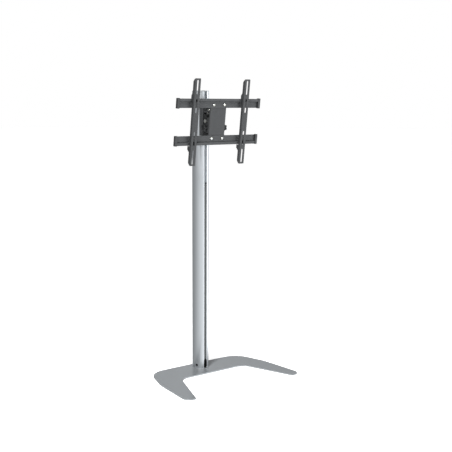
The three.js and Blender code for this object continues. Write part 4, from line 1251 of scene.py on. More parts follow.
class STAND_OT_foot_fasteners(bpy.types.Operator):
    """Sets the countersunk bolts under the plate and the grub screws in the column's flanks"""

    bl_idname = "stand.foot_fasteners"
    bl_label = "Foot fasteners"

    def execute(self, context):
        form = context.scene.stand_form
        socket = socket_cut(BOLT_SOCKET, 0)
        bolt = countersunk_screw(BOLT_RADIUS, BOLT_HEAD, BOLT_LENGTH, socket, form.thread_pitch)
        level = PLATE_LOW.z + BOLT_SINK
        places = [((x, COLUMN_Y - forward, level), (0, 0, -1)) for x, forward in BOLT_PLACES]
        bolts = scattered(bolt, places, "zinc", form.spin_seed)
        add_piece("base_bolts", bolts, "base", [f"base_bolt_{k}" for k in (1, 2, 3, 4)], "zinc")
        body = rod(SET_SCREW_RADIUS - SET_SCREW_PLAY, -SET_SCREW_LENGTH, 0, SET_SCREW_EDGE)
        grub = combined(body, (CUT, socket_cut(SET_SCREW_SOCKET, 0)))
        bore = SET_SCREW_RADIUS + HOLE_FIT
        rim, rise = SET_SCREW_COLLAR
        section = [(bore, -rise), (bore, rise), (rim - rise, rise / 2), (rim, -rise)]
        collar = lathe(section, Matrix.Translation((0, 0, SET_SCREW_SINK)), closed=True)
        places = []
        for side in (-1, 1):
            point, outward = set_screw_place(side)
            places.append((point - outward * SET_SCREW_SINK, outward))
        grubs = scattered(merged(grub, collar), places, "black_steel", form.spin_seed)
        add_piece("grub_screws", grubs, "base", ["column_screw_left", "column_screw_right"], "black_steel")
        refinish("zinc", "foot_block")
        return {"FINISHED"}


class STAND_OT_column(bpy.types.Operator):
    """Extrudes the oval column and mills its cable outlet and screw holes"""

    bl_idname = "stand.column"
    bl_label = "Column"

    def execute(self, context):
        form = context.scene.stand_form
        bores = [circle(side * PORT_X, 0, PORT_BORE) for side in (-1, 1)]
        loops = [column_outline(form), duct_outline(0), *bores]
        bar = extruded(loops, COLUMN_LOW.z, COLUMN_HIGH.z, "anodised", FOOT)
        middle = (form.outlet_low + form.outlet_high) / 2
        reach = (form.outlet_high - form.outlet_low) / 2
        outlet = upright_slot(0, PLATE_HIGH.z + middle, form.outlet_half_width, reach)
        cuts = [(CUT, solid("front", [outlet], LIP_INNER - MM, HALF_DEPTH + OVERRUN, 0.0, FOOT))]
        for side in (-1, 1):
            point, outward = set_screw_place(side)
            place = along(outward, point)
            hole = rod(SET_SCREW_RADIUS + HOLE_FIT, -COLUMN_WALL - OVERRUN, OVERRUN, 0.0, place)
            cuts.append((CUT, hole))
        add_piece("anodised_column", combined(bar, *cuts), "base", ["column"], "anodised")
        return {"FINISHED"}


class STAND_OT_outlet_liner(bpy.types.Operator):
    """Builds the black cup that lines the channel behind the cable outlet"""

    bl_idname = "stand.outlet_liner"
    bl_label = "Outlet liner"

    def execute(self, context):
        low, high = (corner.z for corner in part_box("outlet_liner"))
        half, back, front = CHANNEL_HALF - HOLE_FIT, CHANNEL_BACK + HOLE_FIT, LIP_INNER - HOLE_FIT
        inner = half - LINER_WALL
        floor = back + LINER_WALL
        outline = rounded(mirrored([(half, front, 0), (half, back, LINER_WALL)]))
        hollow = rounded(mirrored([(inner, front + OVERRUN, 0), (inner, floor, LINER_WALL / 2)]))
        cup = solid("plan", [outline], low, high, LINER_EDGE, FOOT)
        space = solid("plan", [hollow], low + LINER_WALL, high + OVERRUN, 0.0, FOOT)
        mesh = combined(cup, (CUT, space))
        add_piece("moulded_outlet_liner", mesh, "base", ["outlet_liner"], "black_plastic")
        return {"FINISHED"}


class STAND_OT_cover_strips(bpy.types.Operator):
    """Extrudes the clip-in strips of the front and rear slots"""

    bl_idname = "stand.cover_strips"
    bl_label = "Cover strips"

    def execute(self, context):
        for name, turn in (("front_cover_strip", 0), ("rear_cover_strip", math.pi)):
            low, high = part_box(name)
            place = FOOT @ Matrix.Rotation(turn, 4, "Z")
            strip = extruded([strip_outline()], low.z, high.z, "strip_plastic", place)
            add_piece(f"{name}_extrusion", strip, "base", [name], "strip_plastic")
        return {"FINISHED"}


class STAND_OT_column_cap(bpy.types.Operator):
    """Builds the crowned cap with its plug and its two screws"""

    bl_idname = "stand.column_cap"
    bl_label = "Column cap"

    def execute(self, context):
        form = context.scene.stand_form
        top = COLUMN_HIGH.z
        flat = HALF_WIDTH - CAP_ROUND
        rise = [flat * share for share in CAP_CROWN_SHARES]
        crown = [(x, CAP_EDGE + CAP_CROWN * (1 - (x / flat) ** 2), 0) for x in rise]
        corners = [(0, 0, 0), (HALF_WIDTH, 0, FINE_EDGE), (HALF_WIDTH, CAP_EDGE, CAP_RIM_ROUND)]
        corners += [*crown, (0, CAP_EDGE + CAP_CROWN, 0)]
        oval = Matrix.Diagonal((1, HALF_DEPTH / HALF_WIDTH, 1, 1))
        seat = Matrix.Translation((0, COLUMN_Y, top))
        lid = turned_piece(corners, SOFT_ARC_STEP, seat @ oval, COLUMN_SIDES)
        foot = top - PLUG_DEPTH
        steps = [
            (JOIN, duct_block(HOLE_FIT, foot, top + CAP_EDGE / 2)),
            (CUT, duct_block(HOLE_FIT + PLUG_WALL, foot - OVERRUN, top)),
        ]
        port = PORT_RADIUS + HOLE_FIT
        post = [*arc(PORT_X, 0, port, math.pi / 2, 1.5 * math.pi), (HALF_WIDTH, -port), (HALF_WIDTH, port)]
        wide, narrow = CAP_SCREW_HEAD + HOLE_FIT, CAP_SCREW_RADIUS + HOLE_FIT
        under = -CAP_EDGE - OVERRUN
        profile = [(0, under), (narrow, under), (narrow, narrow - wide)]
        profile += [(wide, 0), (wide, CAP_CROWN), (0, CAP_CROWN)]
        for side in (-1, 1):
            room = np.array(post) * (side, 1)
            steps.append((CUT, solid("plan", [room], foot - OVERRUN, top, 0.0, FOOT)))
            place = Matrix.Translation((side * PORT_X, COLUMN_Y, top + CAP_EDGE))
            steps.append((CUT, lathe(profile, place)))
        add_piece("moulded_cap", combined(lid, *steps), "base", ["column_cap"], "cap_plastic")
        reach = CAP_SCREW_HEAD + OVERRUN
        half, depth = CAP_SCREW_SLOT
        slot = solid("plan", [rectangle(-reach, reach, -half, half)], -depth, OVERRUN)
        sizes = (CAP_SCREW_RADIUS, CAP_SCREW_HEAD, CAP_SCREW_LENGTH)
        screw = countersunk_screw(*sizes, slot, form.thread_pitch)
        places = [((side * PORT_X, COLUMN_Y, top + CAP_EDGE), (0, 0, 1)) for side in (-1, 1)]
        screws = scattered(screw, places, "black_steel", form.spin_seed)
        add_piece("cap_screws", screws, "base", ["cap_screw_left", "cap_screw_right"], "black_steel")
        return {"FINISHED"}


class STAND_OT_carriage(bpy.types.Operator):
    """Builds the height carriage with its lugs, and its clamp screws"""

    bl_idname = "stand.carriage"
    bl_label = "Height carriage"

    def execute(self, context):
        form = context.scene.stand_form
        half, edge = SADDLE_HALF_HEIGHT, form.casting_edge
        corners = rectangle(-SADDLE_HALF, SADDLE_HALF, SADDLE_WRAP, SADDLE_FRONT)
        rounds = (RELIEF, RELIEF, SADDLE_ROUND, SADDLE_ROUND)
        outline = rounded([(x, y, radius) for (x, y), radius in zip(corners, rounds)])
        block = solid("plan", [outline], -half, half, edge)
        bed = ellipse(HALF_WIDTH + SADDLE_FIT, HALF_DEPTH + SADDLE_FIT)
        key_half = SLOT_HALF - HOLE_FIT
        key = rectangle(-key_half, key_half, LIP_EDGE - KEY_DEPTH, HALF_DEPTH + OVERRUN)
        root, tip = SADDLE_FRONT - OVERRUN, SWIVEL_FORWARD + LUG_RADIUS
        lug = [(-LUG_ROOT_HALF, root, 0), (LUG_ROOT_HALF, root, 0)]
        lug += [(side * LUG_RADIUS, tip, LUG_RADIUS - HAIR) for side in (1, -1)]
        ear = rounded(lug, FINE_ARC_STEP)
        pin = Matrix.Translation((0, -SWIVEL_FORWARD, 0))
        steps = [
            (CUT, solid("plan", [bed], -half - OVERRUN, half + OVERRUN)),
            (JOIN, solid("plan", [key], HAIR - half, half - HAIR)),
            (JOIN, solid("plan", [ear], LUG_INNER, LUG_INNER + LUG_THICKNESS, edge)),
            (JOIN, solid("plan", [ear], -LUG_INNER - LUG_THICKNESS, -LUG_INNER, edge)),
            (CUT, rod(PIN_RADIUS + HOLE_FIT, -half, half, 0.0, pin)),
        ]
        seat = SADDLE_FRONT - CLAMP_HEAD_HEIGHT
        for up in (-CLAMP_UP, CLAMP_UP):
            for radius, back in ((CLAMP_RADIUS, LIP_INNER - OVERRUN), (CLAMP_HEAD, seat - SEAT_GAP)):
                hole = circle(0, up, radius + HOLE_FIT)
                steps.append((CUT, solid("front", [hole], back, SADDLE_FRONT + OVERRUN)))
        mesh = combined(block, *steps)
        mesh.transform(SADDLE)
        add_piece("cast_carriage", mesh, "height_carriage", ["carriage"], "black_paint")
        length = seat - (LIP_INNER - HOLE_FIT - CLAMP_REACH)
        head = (CLAMP_HEAD, CLAMP_HEAD_HEIGHT)
        screw = socket_screw(CLAMP_RADIUS, head, length, CLAMP_SOCKET, form.thread_pitch, CLAMP_CROWN)
        places = [((0, COLUMN_Y - seat, MOUNT_Z + up), (0, -1, 0)) for up in (-CLAMP_UP, CLAMP_UP)]
        screws = scattered(screw, places, "black_steel", form.spin_seed)
        nodes = ["clamp_screw_upper", "clamp_screw_lower"]
        add_piece("clamp_screws", screws, "height_carriage", nodes, "black_steel")
        refinish("zinc", "slot_nut_upper", "slot_nut_lower")
        return {"FINISHED"}


class STAND_OT_swivel_pin(bpy.types.Operator):
    """Builds the swivel pin, its lock nut and the friction washers"""

    bl_idname = "stand.swivel_pin"
    bl_label = "Swivel pin"

    def execute(self, context):
        form = context.scene.stand_form
        top = LUG_INNER + LUG_THICKNESS + SEAT_GAP
        bottom = -top - PIN_NUT_HEIGHT - PIN_TAIL
        corners = [
            (0, -top, 0),
            (PIN_RADIUS, -top, 0),
            (PIN_RADIUS, top, 0),
            (PIN_HEAD, top, FINE_EDGE),
            (PIN_HEAD, top + PIN_HEAD_HEIGHT, PIN_HEAD_ROUND),
            (0, top + PIN_HEAD_HEIGHT, 0),
        ]
        shank = turned_piece(corners, PIN_ARC_STEP, SWIVEL)
        tail = thread(PIN_RADIUS, bottom, -top + MM, form.thread_pitch, SWIVEL)
        add_piece("pivot_pin", merged(shank, tail), "height_carriage", ["swivel_pin"], "zinc")
        lock = nut(PIN_NUT, PIN_RADIUS, -top - PIN_NUT_HEIGHT, -top, SWIVEL)
        add_piece("pivot_lock_nut", lock, "height_carriage", ["swivel_nut"], "zinc")
        low = LUG_INNER - RUN_GAP - WASHER_THICKNESS
        loops = [circle(0, 0, radius) for radius in (WASHER_RADIUS, PIN_RADIUS + HOLE_FIT)]
        ring = solid("plan", loops, 0, WASHER_THICKNESS, FINE_EDGE)
        places = [((*SWIVEL_AXIS.xy, MOUNT_Z + side * low), (0, 0, side)) for side in (1, -1)]
        rings = scattered(ring, places, "nylon", form.spin_seed)
        nodes = ["swivel_washer_upper", "swivel_washer_lower"]
        add_piece("friction_washers", rings, "swivel", nodes, "nylon")
        return {"FINISHED"}


class STAND_OT_swivel_head(bpy.types.Operator):
    """Builds the swivel head: barrel, web, plate and two cheeks"""

    bl_idname = "stand.swivel_head"
    bl_label = "Swivel head"

    def execute(self, context):
        edge = context.scene.stand_form.casting_edge
        barrel = rod(BARREL_RADIUS, -BARREL_HALF, BARREL_HALF, edge, sides=BARREL_SIDES)
        middle = rectangle(-WEB_HALF, WEB_HALF, 0, PLATE_BACK + OVERRUN)
        web = solid("plan", [middle], HAIR - BARREL_HALF, BARREL_HALF - HAIR)
        upright = box_outline(CHEEK_OUTER, PLATE_BOTTOM, PLATE_TOP, PLATE_ROUND)
        plate = solid("front", [upright], PLATE_BACK, PLATE_BACK + PLATE_THICKNESS, edge)
        corners = [
            (PLATE_BACK + HAIR, PLATE_TOP - HAIR, 0),
            (PLATE_BACK + PLATE_THICKNESS + CHEEK_ROUND, PLATE_TOP - HAIR, CHEEK_ROUND),
            (TILT_FORWARD + NOSE, NOSE, NOSE),
            (TILT_FORWARD + LOBE, -LOCK_RADIUS - LOBE, LOBE),
            (PLATE_BACK + HAIR, PLATE_BOTTOM + HAIR, 0),
        ]
        cheek = rounded(corners, FINE_ARC_STEP)
        bush = circle(TILT_FORWARD, 0, AXLE_RADIUS + BUSH_WALL + 2 * HOLE_FIT)
        lock = circle(TILT_FORWARD, -LOCK_RADIUS, LOCK_BOLT + HOLE_FIT)
        steps = [(JOIN, web), (JOIN, plate)]
        for side in (-1, 1):
            low, high = sorted((side * CHEEK_INNER, side * (CHEEK_OUTER - HAIR)))
            steps.append((JOIN, solid("side", [cheek, bush, lock], low, high, edge * CHEEK_EDGE_SHARE)))
        reach = BARREL_HALF + OVERRUN
        steps.append((CUT, rod(PIN_RADIUS + HOLE_FIT, -reach, reach)))
        mesh = combined(barrel, *steps)
        mesh.transform(SWIVEL)
        add_piece("cast_swivel_head", mesh, "swivel", ["swivel_head"], "black_paint")
        return {"FINISHED"}


class STAND_OT_tilt_pivot(bpy.types.Operator):
    """Builds the tilt axle, its nut, the flanged bushes and the two lock bolts"""

    bl_idname = "stand.tilt_pivot"
    bl_label = "Tilt pivot"

    def execute(self, context):
        form = context.scene.stand_form
        seat = FLANGE_OUTER + SEAT_GAP
        right = PIVOT @ along((1, 0, 0))
        shank = rod(AXLE_RADIUS, -seat, seat, 0.0, right)
        tail = thread(AXLE_RADIUS, seat - MM, seat + AXLE_NUT_HEIGHT + OVERRUN, form.thread_pitch, right)
        head = nut(AXLE_HEAD, 0, -seat - AXLE_HEAD_HEIGHT, -seat + HAIR, right)
        add_piece("tilt_axle_bolt", merged(shank, tail, head), "swivel", ["tilt_axle"], "zinc")
        lock = nut(AXLE_HEAD, AXLE_RADIUS, seat, seat + AXLE_NUT_HEIGHT, right)
        add_piece("tilt_axle_lock_nut", lock, "swivel", ["tilt_axle_nut"], "zinc")
        bore = AXLE_RADIUS + HOLE_FIT
        flange = CHEEK_OUTER + RUN_GAP
        for side, name in ((1, "right"), (-1, "left")):
            place = PIVOT @ along((side, 0, 0))
            profile = [
                (bore, CHEEK_INNER),
                (bore + BUSH_WALL, CHEEK_INNER),
                (bore + BUSH_WALL, flange),
                (BUSH_FLANGE, flange),
                (BUSH_FLANGE, FLANGE_INNER - RUN_GAP),
                (bore, FLANGE_INNER - RUN_GAP),
            ]
            bush = lathe(profile, place, closed=True)
            add_piece(f"flanged_bush_{name}", bush, "swivel", [f"tilt_bush_{name}"], "nylon")
            low = CHEEK_INNER - SEAT_GAP
            corners = [
                (0, low - DOME_HEIGHT, 0),
                (DOME_RADIUS * DOME_TOP_SHARE, low - DOME_HEIGHT, DOME_RADIUS * DOME_ROUND_SHARE),
                (DOME_RADIUS, low - DOME_HEIGHT / 4, DOME_EDGE),
                (DOME_RADIUS, low, SEAT_EDGE),
                (0, low, 0),
            ]
            dome = turned_piece(corners, SOFT_ARC_STEP, lock_place(side))
            end = seat + KNOB_HUB_HEIGHT + KNOB_HEIGHT / 2
            bolt = merged(dome, thread(LOCK_BOLT, low - MM, end, form.thread_pitch, lock_place(side)))
            add_piece(f"lock_bolt_{name}", bolt, "swivel", [f"tilt_lock_bolt_{name}"], "zinc")
        return {"FINISHED"}


class STAND_OT_knobs(bpy.types.Operator):
    """Builds the two star knobs, each a hub and a body whose radius waves around five lobes"""

    bl_idname = "stand.knobs"
    bl_label = "Star knobs"

    def execute(self, context):
        foot = FLANGE_OUTER + SEAT_GAP
        top = foot + KNOB_HUB_HEIGHT
        middle = Matrix.Translation((0, 0, top + KNOB_HEIGHT / 2))
        bore = LOCK_BOLT + HOLE_FIT
        section = [
            (bore, foot),
            (KNOB_HUB - KNOB_HUB_EDGE, foot),
            (KNOB_HUB, foot + KNOB_HUB_EDGE),
            (KNOB_HUB + MM, top + KNOB_OVERLAP),
            (bore, top + KNOB_OVERLAP),
        ]
        sizes = (KNOB_MEAN, KNOB_LOBE, KNOB_LOBES, KNOB_HEIGHT, KNOB_SOFTNESS, KNOB_GRID)
        for side, name in ((1, "right"), (-1, "left")):
            star = lobed(*sizes, "black_plastic", lock_place(side) @ middle)
            knob = merged(star, lathe(section, lock_place(side), closed=True))
            add_piece(f"star_knob_{name}", knob, f"knob_{name}", [f"tilt_knob_{name}"], "black_plastic")
        return {"FINISHED"}


class STAND_OT_tilt_plate(bpy.types.Operator):
    """Folds the tilt plate and cuts its flanges, curved slots and holes"""

    bl_idname = "stand.tilt_plate"
    bl_label = "Tilt plate"

    def execute(self, context):
        form = context.scene.stand_form
        inner, outer = form.bend_inner, form.bend_inner + TILT_FRONT - TILT_BACK
        half = [
            (FLANGE_OUTER, TILT_FRONT, outer),
            (FLANGE_OUTER, -NOSE - OVERRUN, 0),
            (FLANGE_INNER, -NOSE - OVERRUN, 0),
            (FLANGE_INNER, TILT_BACK, inner),
        ]
        channel = rounded(mirrored(half))
        folded = solid("plan", [channel], -TILT_HALF_HEIGHT - OVERRUN, TILT_HALF_HEIGHT + OVERRUN)
        back, front = TILT_BACK - HAIR, TILT_FRONT + OVERRUN
        tall = TILT_HALF_HEIGHT + 2 * OVERRUN
        corners = [
            (front, -tall, 0),
            (front, tall, 0),
            (back, tall, 0),
            (back, FLANGE_TOP, RELIEF),
            (-NOSE, FLANGE_TOP, NOSE),
            (-NOSE, FLANGE_BOTTOM, NOSE),
            (back, FLANGE_BOTTOM - LOBE, RELIEF),
            (back, -tall, 0),
        ]
        side_view = rounded(corners, FINE_ARC_STEP)
        low, high = LOCK_BACKWARD - math.pi / 2, LOCK_FORWARD - math.pi / 2
        radius = LOCK_BOLT + LOCK_FIT
        sides = [arc(0, 0, LOCK_RADIUS + radius, low, high), arc(0, 0, LOCK_RADIUS - radius, high, low)]
        ends = []
        for turn, start in ((high, high), (low, low + math.pi)):
            x, up = LOCK_RADIUS * math.cos(turn), LOCK_RADIUS * math.sin(turn)
            ends.append(arc(x, up, radius, start, start + math.pi)[1:-1])
        slot = np.concatenate([sides[0], ends[0], sides[1], ends[1]])
        wide = FLANGE_OUTER + OVERRUN
        half_x = FLANGE_OUTER + HAIR
        front_view = box_outline(half_x, -TILT_HALF_HEIGHT, TILT_HALF_HEIGHT, TILT_ROUND)
        steps = [
            (KEEP, solid("side", [side_view], -wide, wide)),
            (KEEP, solid("front", [front_view], -NOSE - 2 * OVERRUN, front)),
            (CUT, solid("side", [circle(0, 0, AXLE_RADIUS + HOLE_FIT)], -wide, wide)),
            (CUT, solid("side", [slot], -wide, wide)),
        ]
        for x in (-RAIL_BOLT_X, RAIL_BOLT_X):
            for up in (-RAIL_BOLT_UP, RAIL_BOLT_UP):
                hole = circle(x, up, RAIL_BOLT_RADIUS + HOLE_FIT)
                steps.append((CUT, solid("front", [hole], TILT_BACK - OVERRUN, front)))
        mesh = eased(combined(folded, *steps), form.sheet_edge)
        mesh.transform(HEAD)
        add_piece("folded_tilt_plate", mesh, "tilt_frame", ["tilt_plate"], "black_paint")
        return {"FINISHED"}


class STAND_OT_hook_rails(bpy.types.Operator):
    """Folds the two hook rails and sets their end caps and bolts"""

    bl_idname = "stand.hook_rails"
    bl_label = "Hook rails"

    def execute(self, context):
        form = context.scene.stand_form
        # A section's run along +Z is laid along +X, with the section's -X up
        lay = Matrix(((0, 0, 1, 0), (0, 1, 0, 0), (-1, 0, 0, 0), (0, 0, 0, 1)))
        for side, name in ((1, "upper"), (-1, "lower")):
            section = [(-up, forward) for forward, up in rail_outline(side, form)]
            bar = extruded([section], -RAIL_HALF_LENGTH, RAIL_HALF_LENGTH, "black_paint", lay)
            steps = []
            for x in (-RAIL_BOLT_X, RAIL_BOLT_X):
                hole = circle(x, side * RAIL_BOLT_UP, RAIL_BOLT_RADIUS + HOLE_FIT)
                cutter = solid("front", [hole], RAIL_BACK - OVERRUN, RAIL_BACK + RAIL_GAUGE + OVERRUN)
                steps.append((CUT, cutter))
            mesh = combined(bar, *steps)
            mesh.transform(HEAD)
            add_piece(f"hook_rail_{name}", mesh, "tilt_frame", [f"rail_{name}"], "black_paint")
        places = []
        for number, (side, end) in enumerate(((1, -1), (1, 1), (-1, -1), (-1, 1)), 1):
            cap = self.end_cap(side, end, form)
            add_piece(f"rail_end_cap_{number}", cap, "tilt_frame", [f"rail_cap_{number}"], "black_plastic")
            seat = Vector((end * RAIL_BOLT_X, -RAIL_BACK - RAIL_GAUGE - SEAT_GAP, side * RAIL_BOLT_UP))
            places.append((HEAD @ seat, HEAD.to_3x3() @ Vector((0, -1, 0))))
        length = RAIL_BACK + RAIL_GAUGE + SEAT_GAP - TILT_BACK + RAIL_BOLT_TAIL
        head, socket = (RAIL_BOLT_HEAD, RAIL_BOLT_HEIGHT), RAIL_BOLT_SOCKET
        screw = socket_screw(RAIL_BOLT_RADIUS, head, length, socket, form.thread_pitch, RAIL_BOLT_CROWN)
        bolts = scattered(screw, places, "zinc", form.spin_seed)
        nodes = [f"rail_bolt_{k}" for k in (1, 2, 3, 4)]
        add_piece("rail_bolts", bolts, "tilt_frame", nodes, "zinc")
        return {"FINISHED"}

    def end_cap(self, side, end, form):
        """A moulded cap with a pocket that the rail's end slips into."""
        wall = RAIL_CAP_WALL + HOLE_FIT
        bottom, top = RAIL_UP - RAIL_WEB_INNER - wall, RAIL_UP + RAIL_WEB_OUTER + RAIL_LIP + wall
        low, high = sorted((side * bottom, side * top))
        back, front = RAIL_BACK - wall, RAIL_BACK + RAIL_JOGGLE + RAIL_GAUGE + wall
        corners = [(x, y, RAIL_CAP_ROUND) for x, y in rectangle(back, front, low, high)]
        seat = RAIL_HALF_LENGTH + SEAT_GAP
        closed, mouth = seat + RAIL_CAP_WALL, seat + RAIL_CAP_WALL - RAIL_CAP_LENGTH
        left, right = sorted((end * mouth, end * closed))
        block = solid("side", [rounded(corners, SOFT_ARC_STEP)], left, right, RAIL_CAP_EDGE)
        left, right = sorted((end * (mouth - OVERRUN), end * seat))
        section = turned_left(rail_outline(side, form), True)
        pocket = section - inward(section) * HOLE_FIT
        mesh = combined(block, (CUT, solid("side", [pocket], left, right)))
        mesh.transform(HEAD)
        return mesh


class STAND_OT_arms(bpy.types.Operator):
    """Folds the two arms, with their hooks, slots and lower tabs"""

    bl_idname = "stand.arms"
    bl_label = "Arms"

    def execute(self, context):
        form = context.scene.stand_form
        inner, outer = form.bend_inner, form.bend_inner + ARM_GAUGE
        reach = SAFETY_FORWARD - TAB_REACH - OVERRUN
        half = [
            (ARM_HALF, ARM_FRONT, outer),
            (ARM_HALF, reach, 0),
            (ARM_HALF - ARM_GAUGE, reach, 0),
            (ARM_HALF - ARM_GAUGE, ARM_FRONT - ARM_GAUGE, inner),
        ]
        channel = rounded(mirrored(half))
        tall = ARM_HALF_HEIGHT + OVERRUN
        folded = solid("plan", [channel], -tall, tall)
        web_back, front = ARM_FRONT - ARM_GAUGE - HAIR, ARM_FRONT + OVERRUN
        tab_low = TAB_TOP - TAB_THICKNESS
        lobe_low = tab_low - TAB_REACH
        lobe_back = SAFETY_FORWARD - TAB_REACH
        hook_front = HOOK_BACK + HOOK_TIP
        corners = [
            (front, tall + OVERRUN, 0),
            (web_back, tall + OVERRUN, 0),
            (web_back, ARM_HALF_HEIGHT - ARM_GAUGE, 0),
            (ARM_BACK, ARM_HALF_HEIGHT - ARM_SHOULDER, RELIEF),
            (ARM_BACK, LIP_TOP + HOOK_TOP + HOOK_SLOPE, HOOK_ROUND),
            (HOOK_BACK, LIP_TOP + HOOK_TOP, ARM_GAUGE),
            (HOOK_BACK, LIP_TOP - HOOK_DROP, SMALL_EDGE),
            (hook_front, LIP_TOP - HOOK_DROP, SMALL_EDGE),
            (hook_front, LIP_TOP, SMALL_EDGE),
            (ARM_BACK, LIP_TOP, SMALL_EDGE),
            (ARM_BACK, -LIP_END - LOBE_CLEARANCE, SMALL_EDGE),
            (lobe_back, -LIP_END - LOBE_CLEARANCE, ARM_GAUGE),
            (lobe_back, lobe_low, ARM_GAUGE),
            (ARM_BACK, lobe_low - HOOK_SLOPE, HOOK_ROUND),
            (ARM_BACK, ARM_SHOULDER - ARM_HALF_HEIGHT, RELIEF),
            (web_back, ARM_GAUGE - ARM_HALF_HEIGHT, 0),
            (web_back, -tall - OVERRUN, 0),
            (front, -tall - OVERRUN, 0),
        ]
        side_view = rounded(corners)
        front_view = box_outline(ARM_HALF + HAIR, -ARM_HALF_HEIGHT, ARM_HALF_HEIGHT, ARM_ROUND)
        tab_half = ARM_HALF - ARM_GAUGE / 2
        flat = rectangle(-tab_half, tab_half, lobe_back + HAIR, web_back + MM)
        hole = circle(0, SAFETY_FORWARD, SAFETY_RADIUS + HOLE_FIT)
        steps = [
            (KEEP, solid("side", [side_view], -ARM_HALF - OVERRUN, ARM_HALF + OVERRUN)),
            (KEEP, solid("front", [front_view], reach - OVERRUN, front)),
            (JOIN, solid("plan", [flat], tab_low, TAB_TOP)),
            (CUT, solid("plan", [hole], tab_low - OVERRUN, TAB_TOP + OVERRUN)),
        ]
        for up in ARM_SLOT_UPS:
            slot = upright_slot(0, up, ARM_SLOT_HALF_WIDTH, ARM_SLOT_HALF_LENGTH)
            steps.append((CUT, solid("front", [slot], web_back - OVERRUN, front)))
        mesh = eased(combined(folded, *steps), form.sheet_edge)
        for side, name in ((-1, "left"), (1, "right")):
            copy = mesh.copy()
            copy.transform(HEAD @ Matrix.Translation((side * ARM_X, 0, 0)))
            add_piece(f"folded_arm_{name}", copy, f"{name}_arm", [f"arm_{name}"], "black_paint")
        return {"FINISHED"}


class STAND_OT_safety_screws(bpy.types.Operator):
    """Builds the knurled thumb screws that lock the arms under the lower rail"""

    bl_idname = "stand.safety_screws"
    bl_label = "Safety screws"

    def execute(self, context):
        seat = TAB_TOP - TAB_THICKNESS - SEAT_GAP
        middle = Matrix.Translation((0, 0, seat - SAFETY_HEAD_HEIGHT / 2))
        waves = (SAFETY_HEAD - SAFETY_KNURL, SAFETY_KNURL, SAFETY_RIBS)
        sizes = (*waves, SAFETY_HEAD_HEIGHT, SAFETY_SOFTNESS, SAFETY_GRID)
        for side, name in ((-1, "left"), (1, "right")):
            place = HEAD @ Matrix.Translation((side * ARM_X, -SAFETY_FORWARD, 0))
            head = lobed(*sizes, "zinc", place @ middle)
            shank = thread(SAFETY_RADIUS, seat - MM, SAFETY_TIP - MM, SAFETY_PITCH, place)
            point = rod(SAFETY_RADIUS - MM, SAFETY_TIP - SAFETY_POINT, SAFETY_TIP, SAFETY_POINT_EDGE, place)
            screw = merged(head, shank, point)
            add_piece(f"thumb_screw_{name}", screw, f"{name}_safety", [f"safety_screw_{name}"], "zinc")
        return {"FINISHED"}


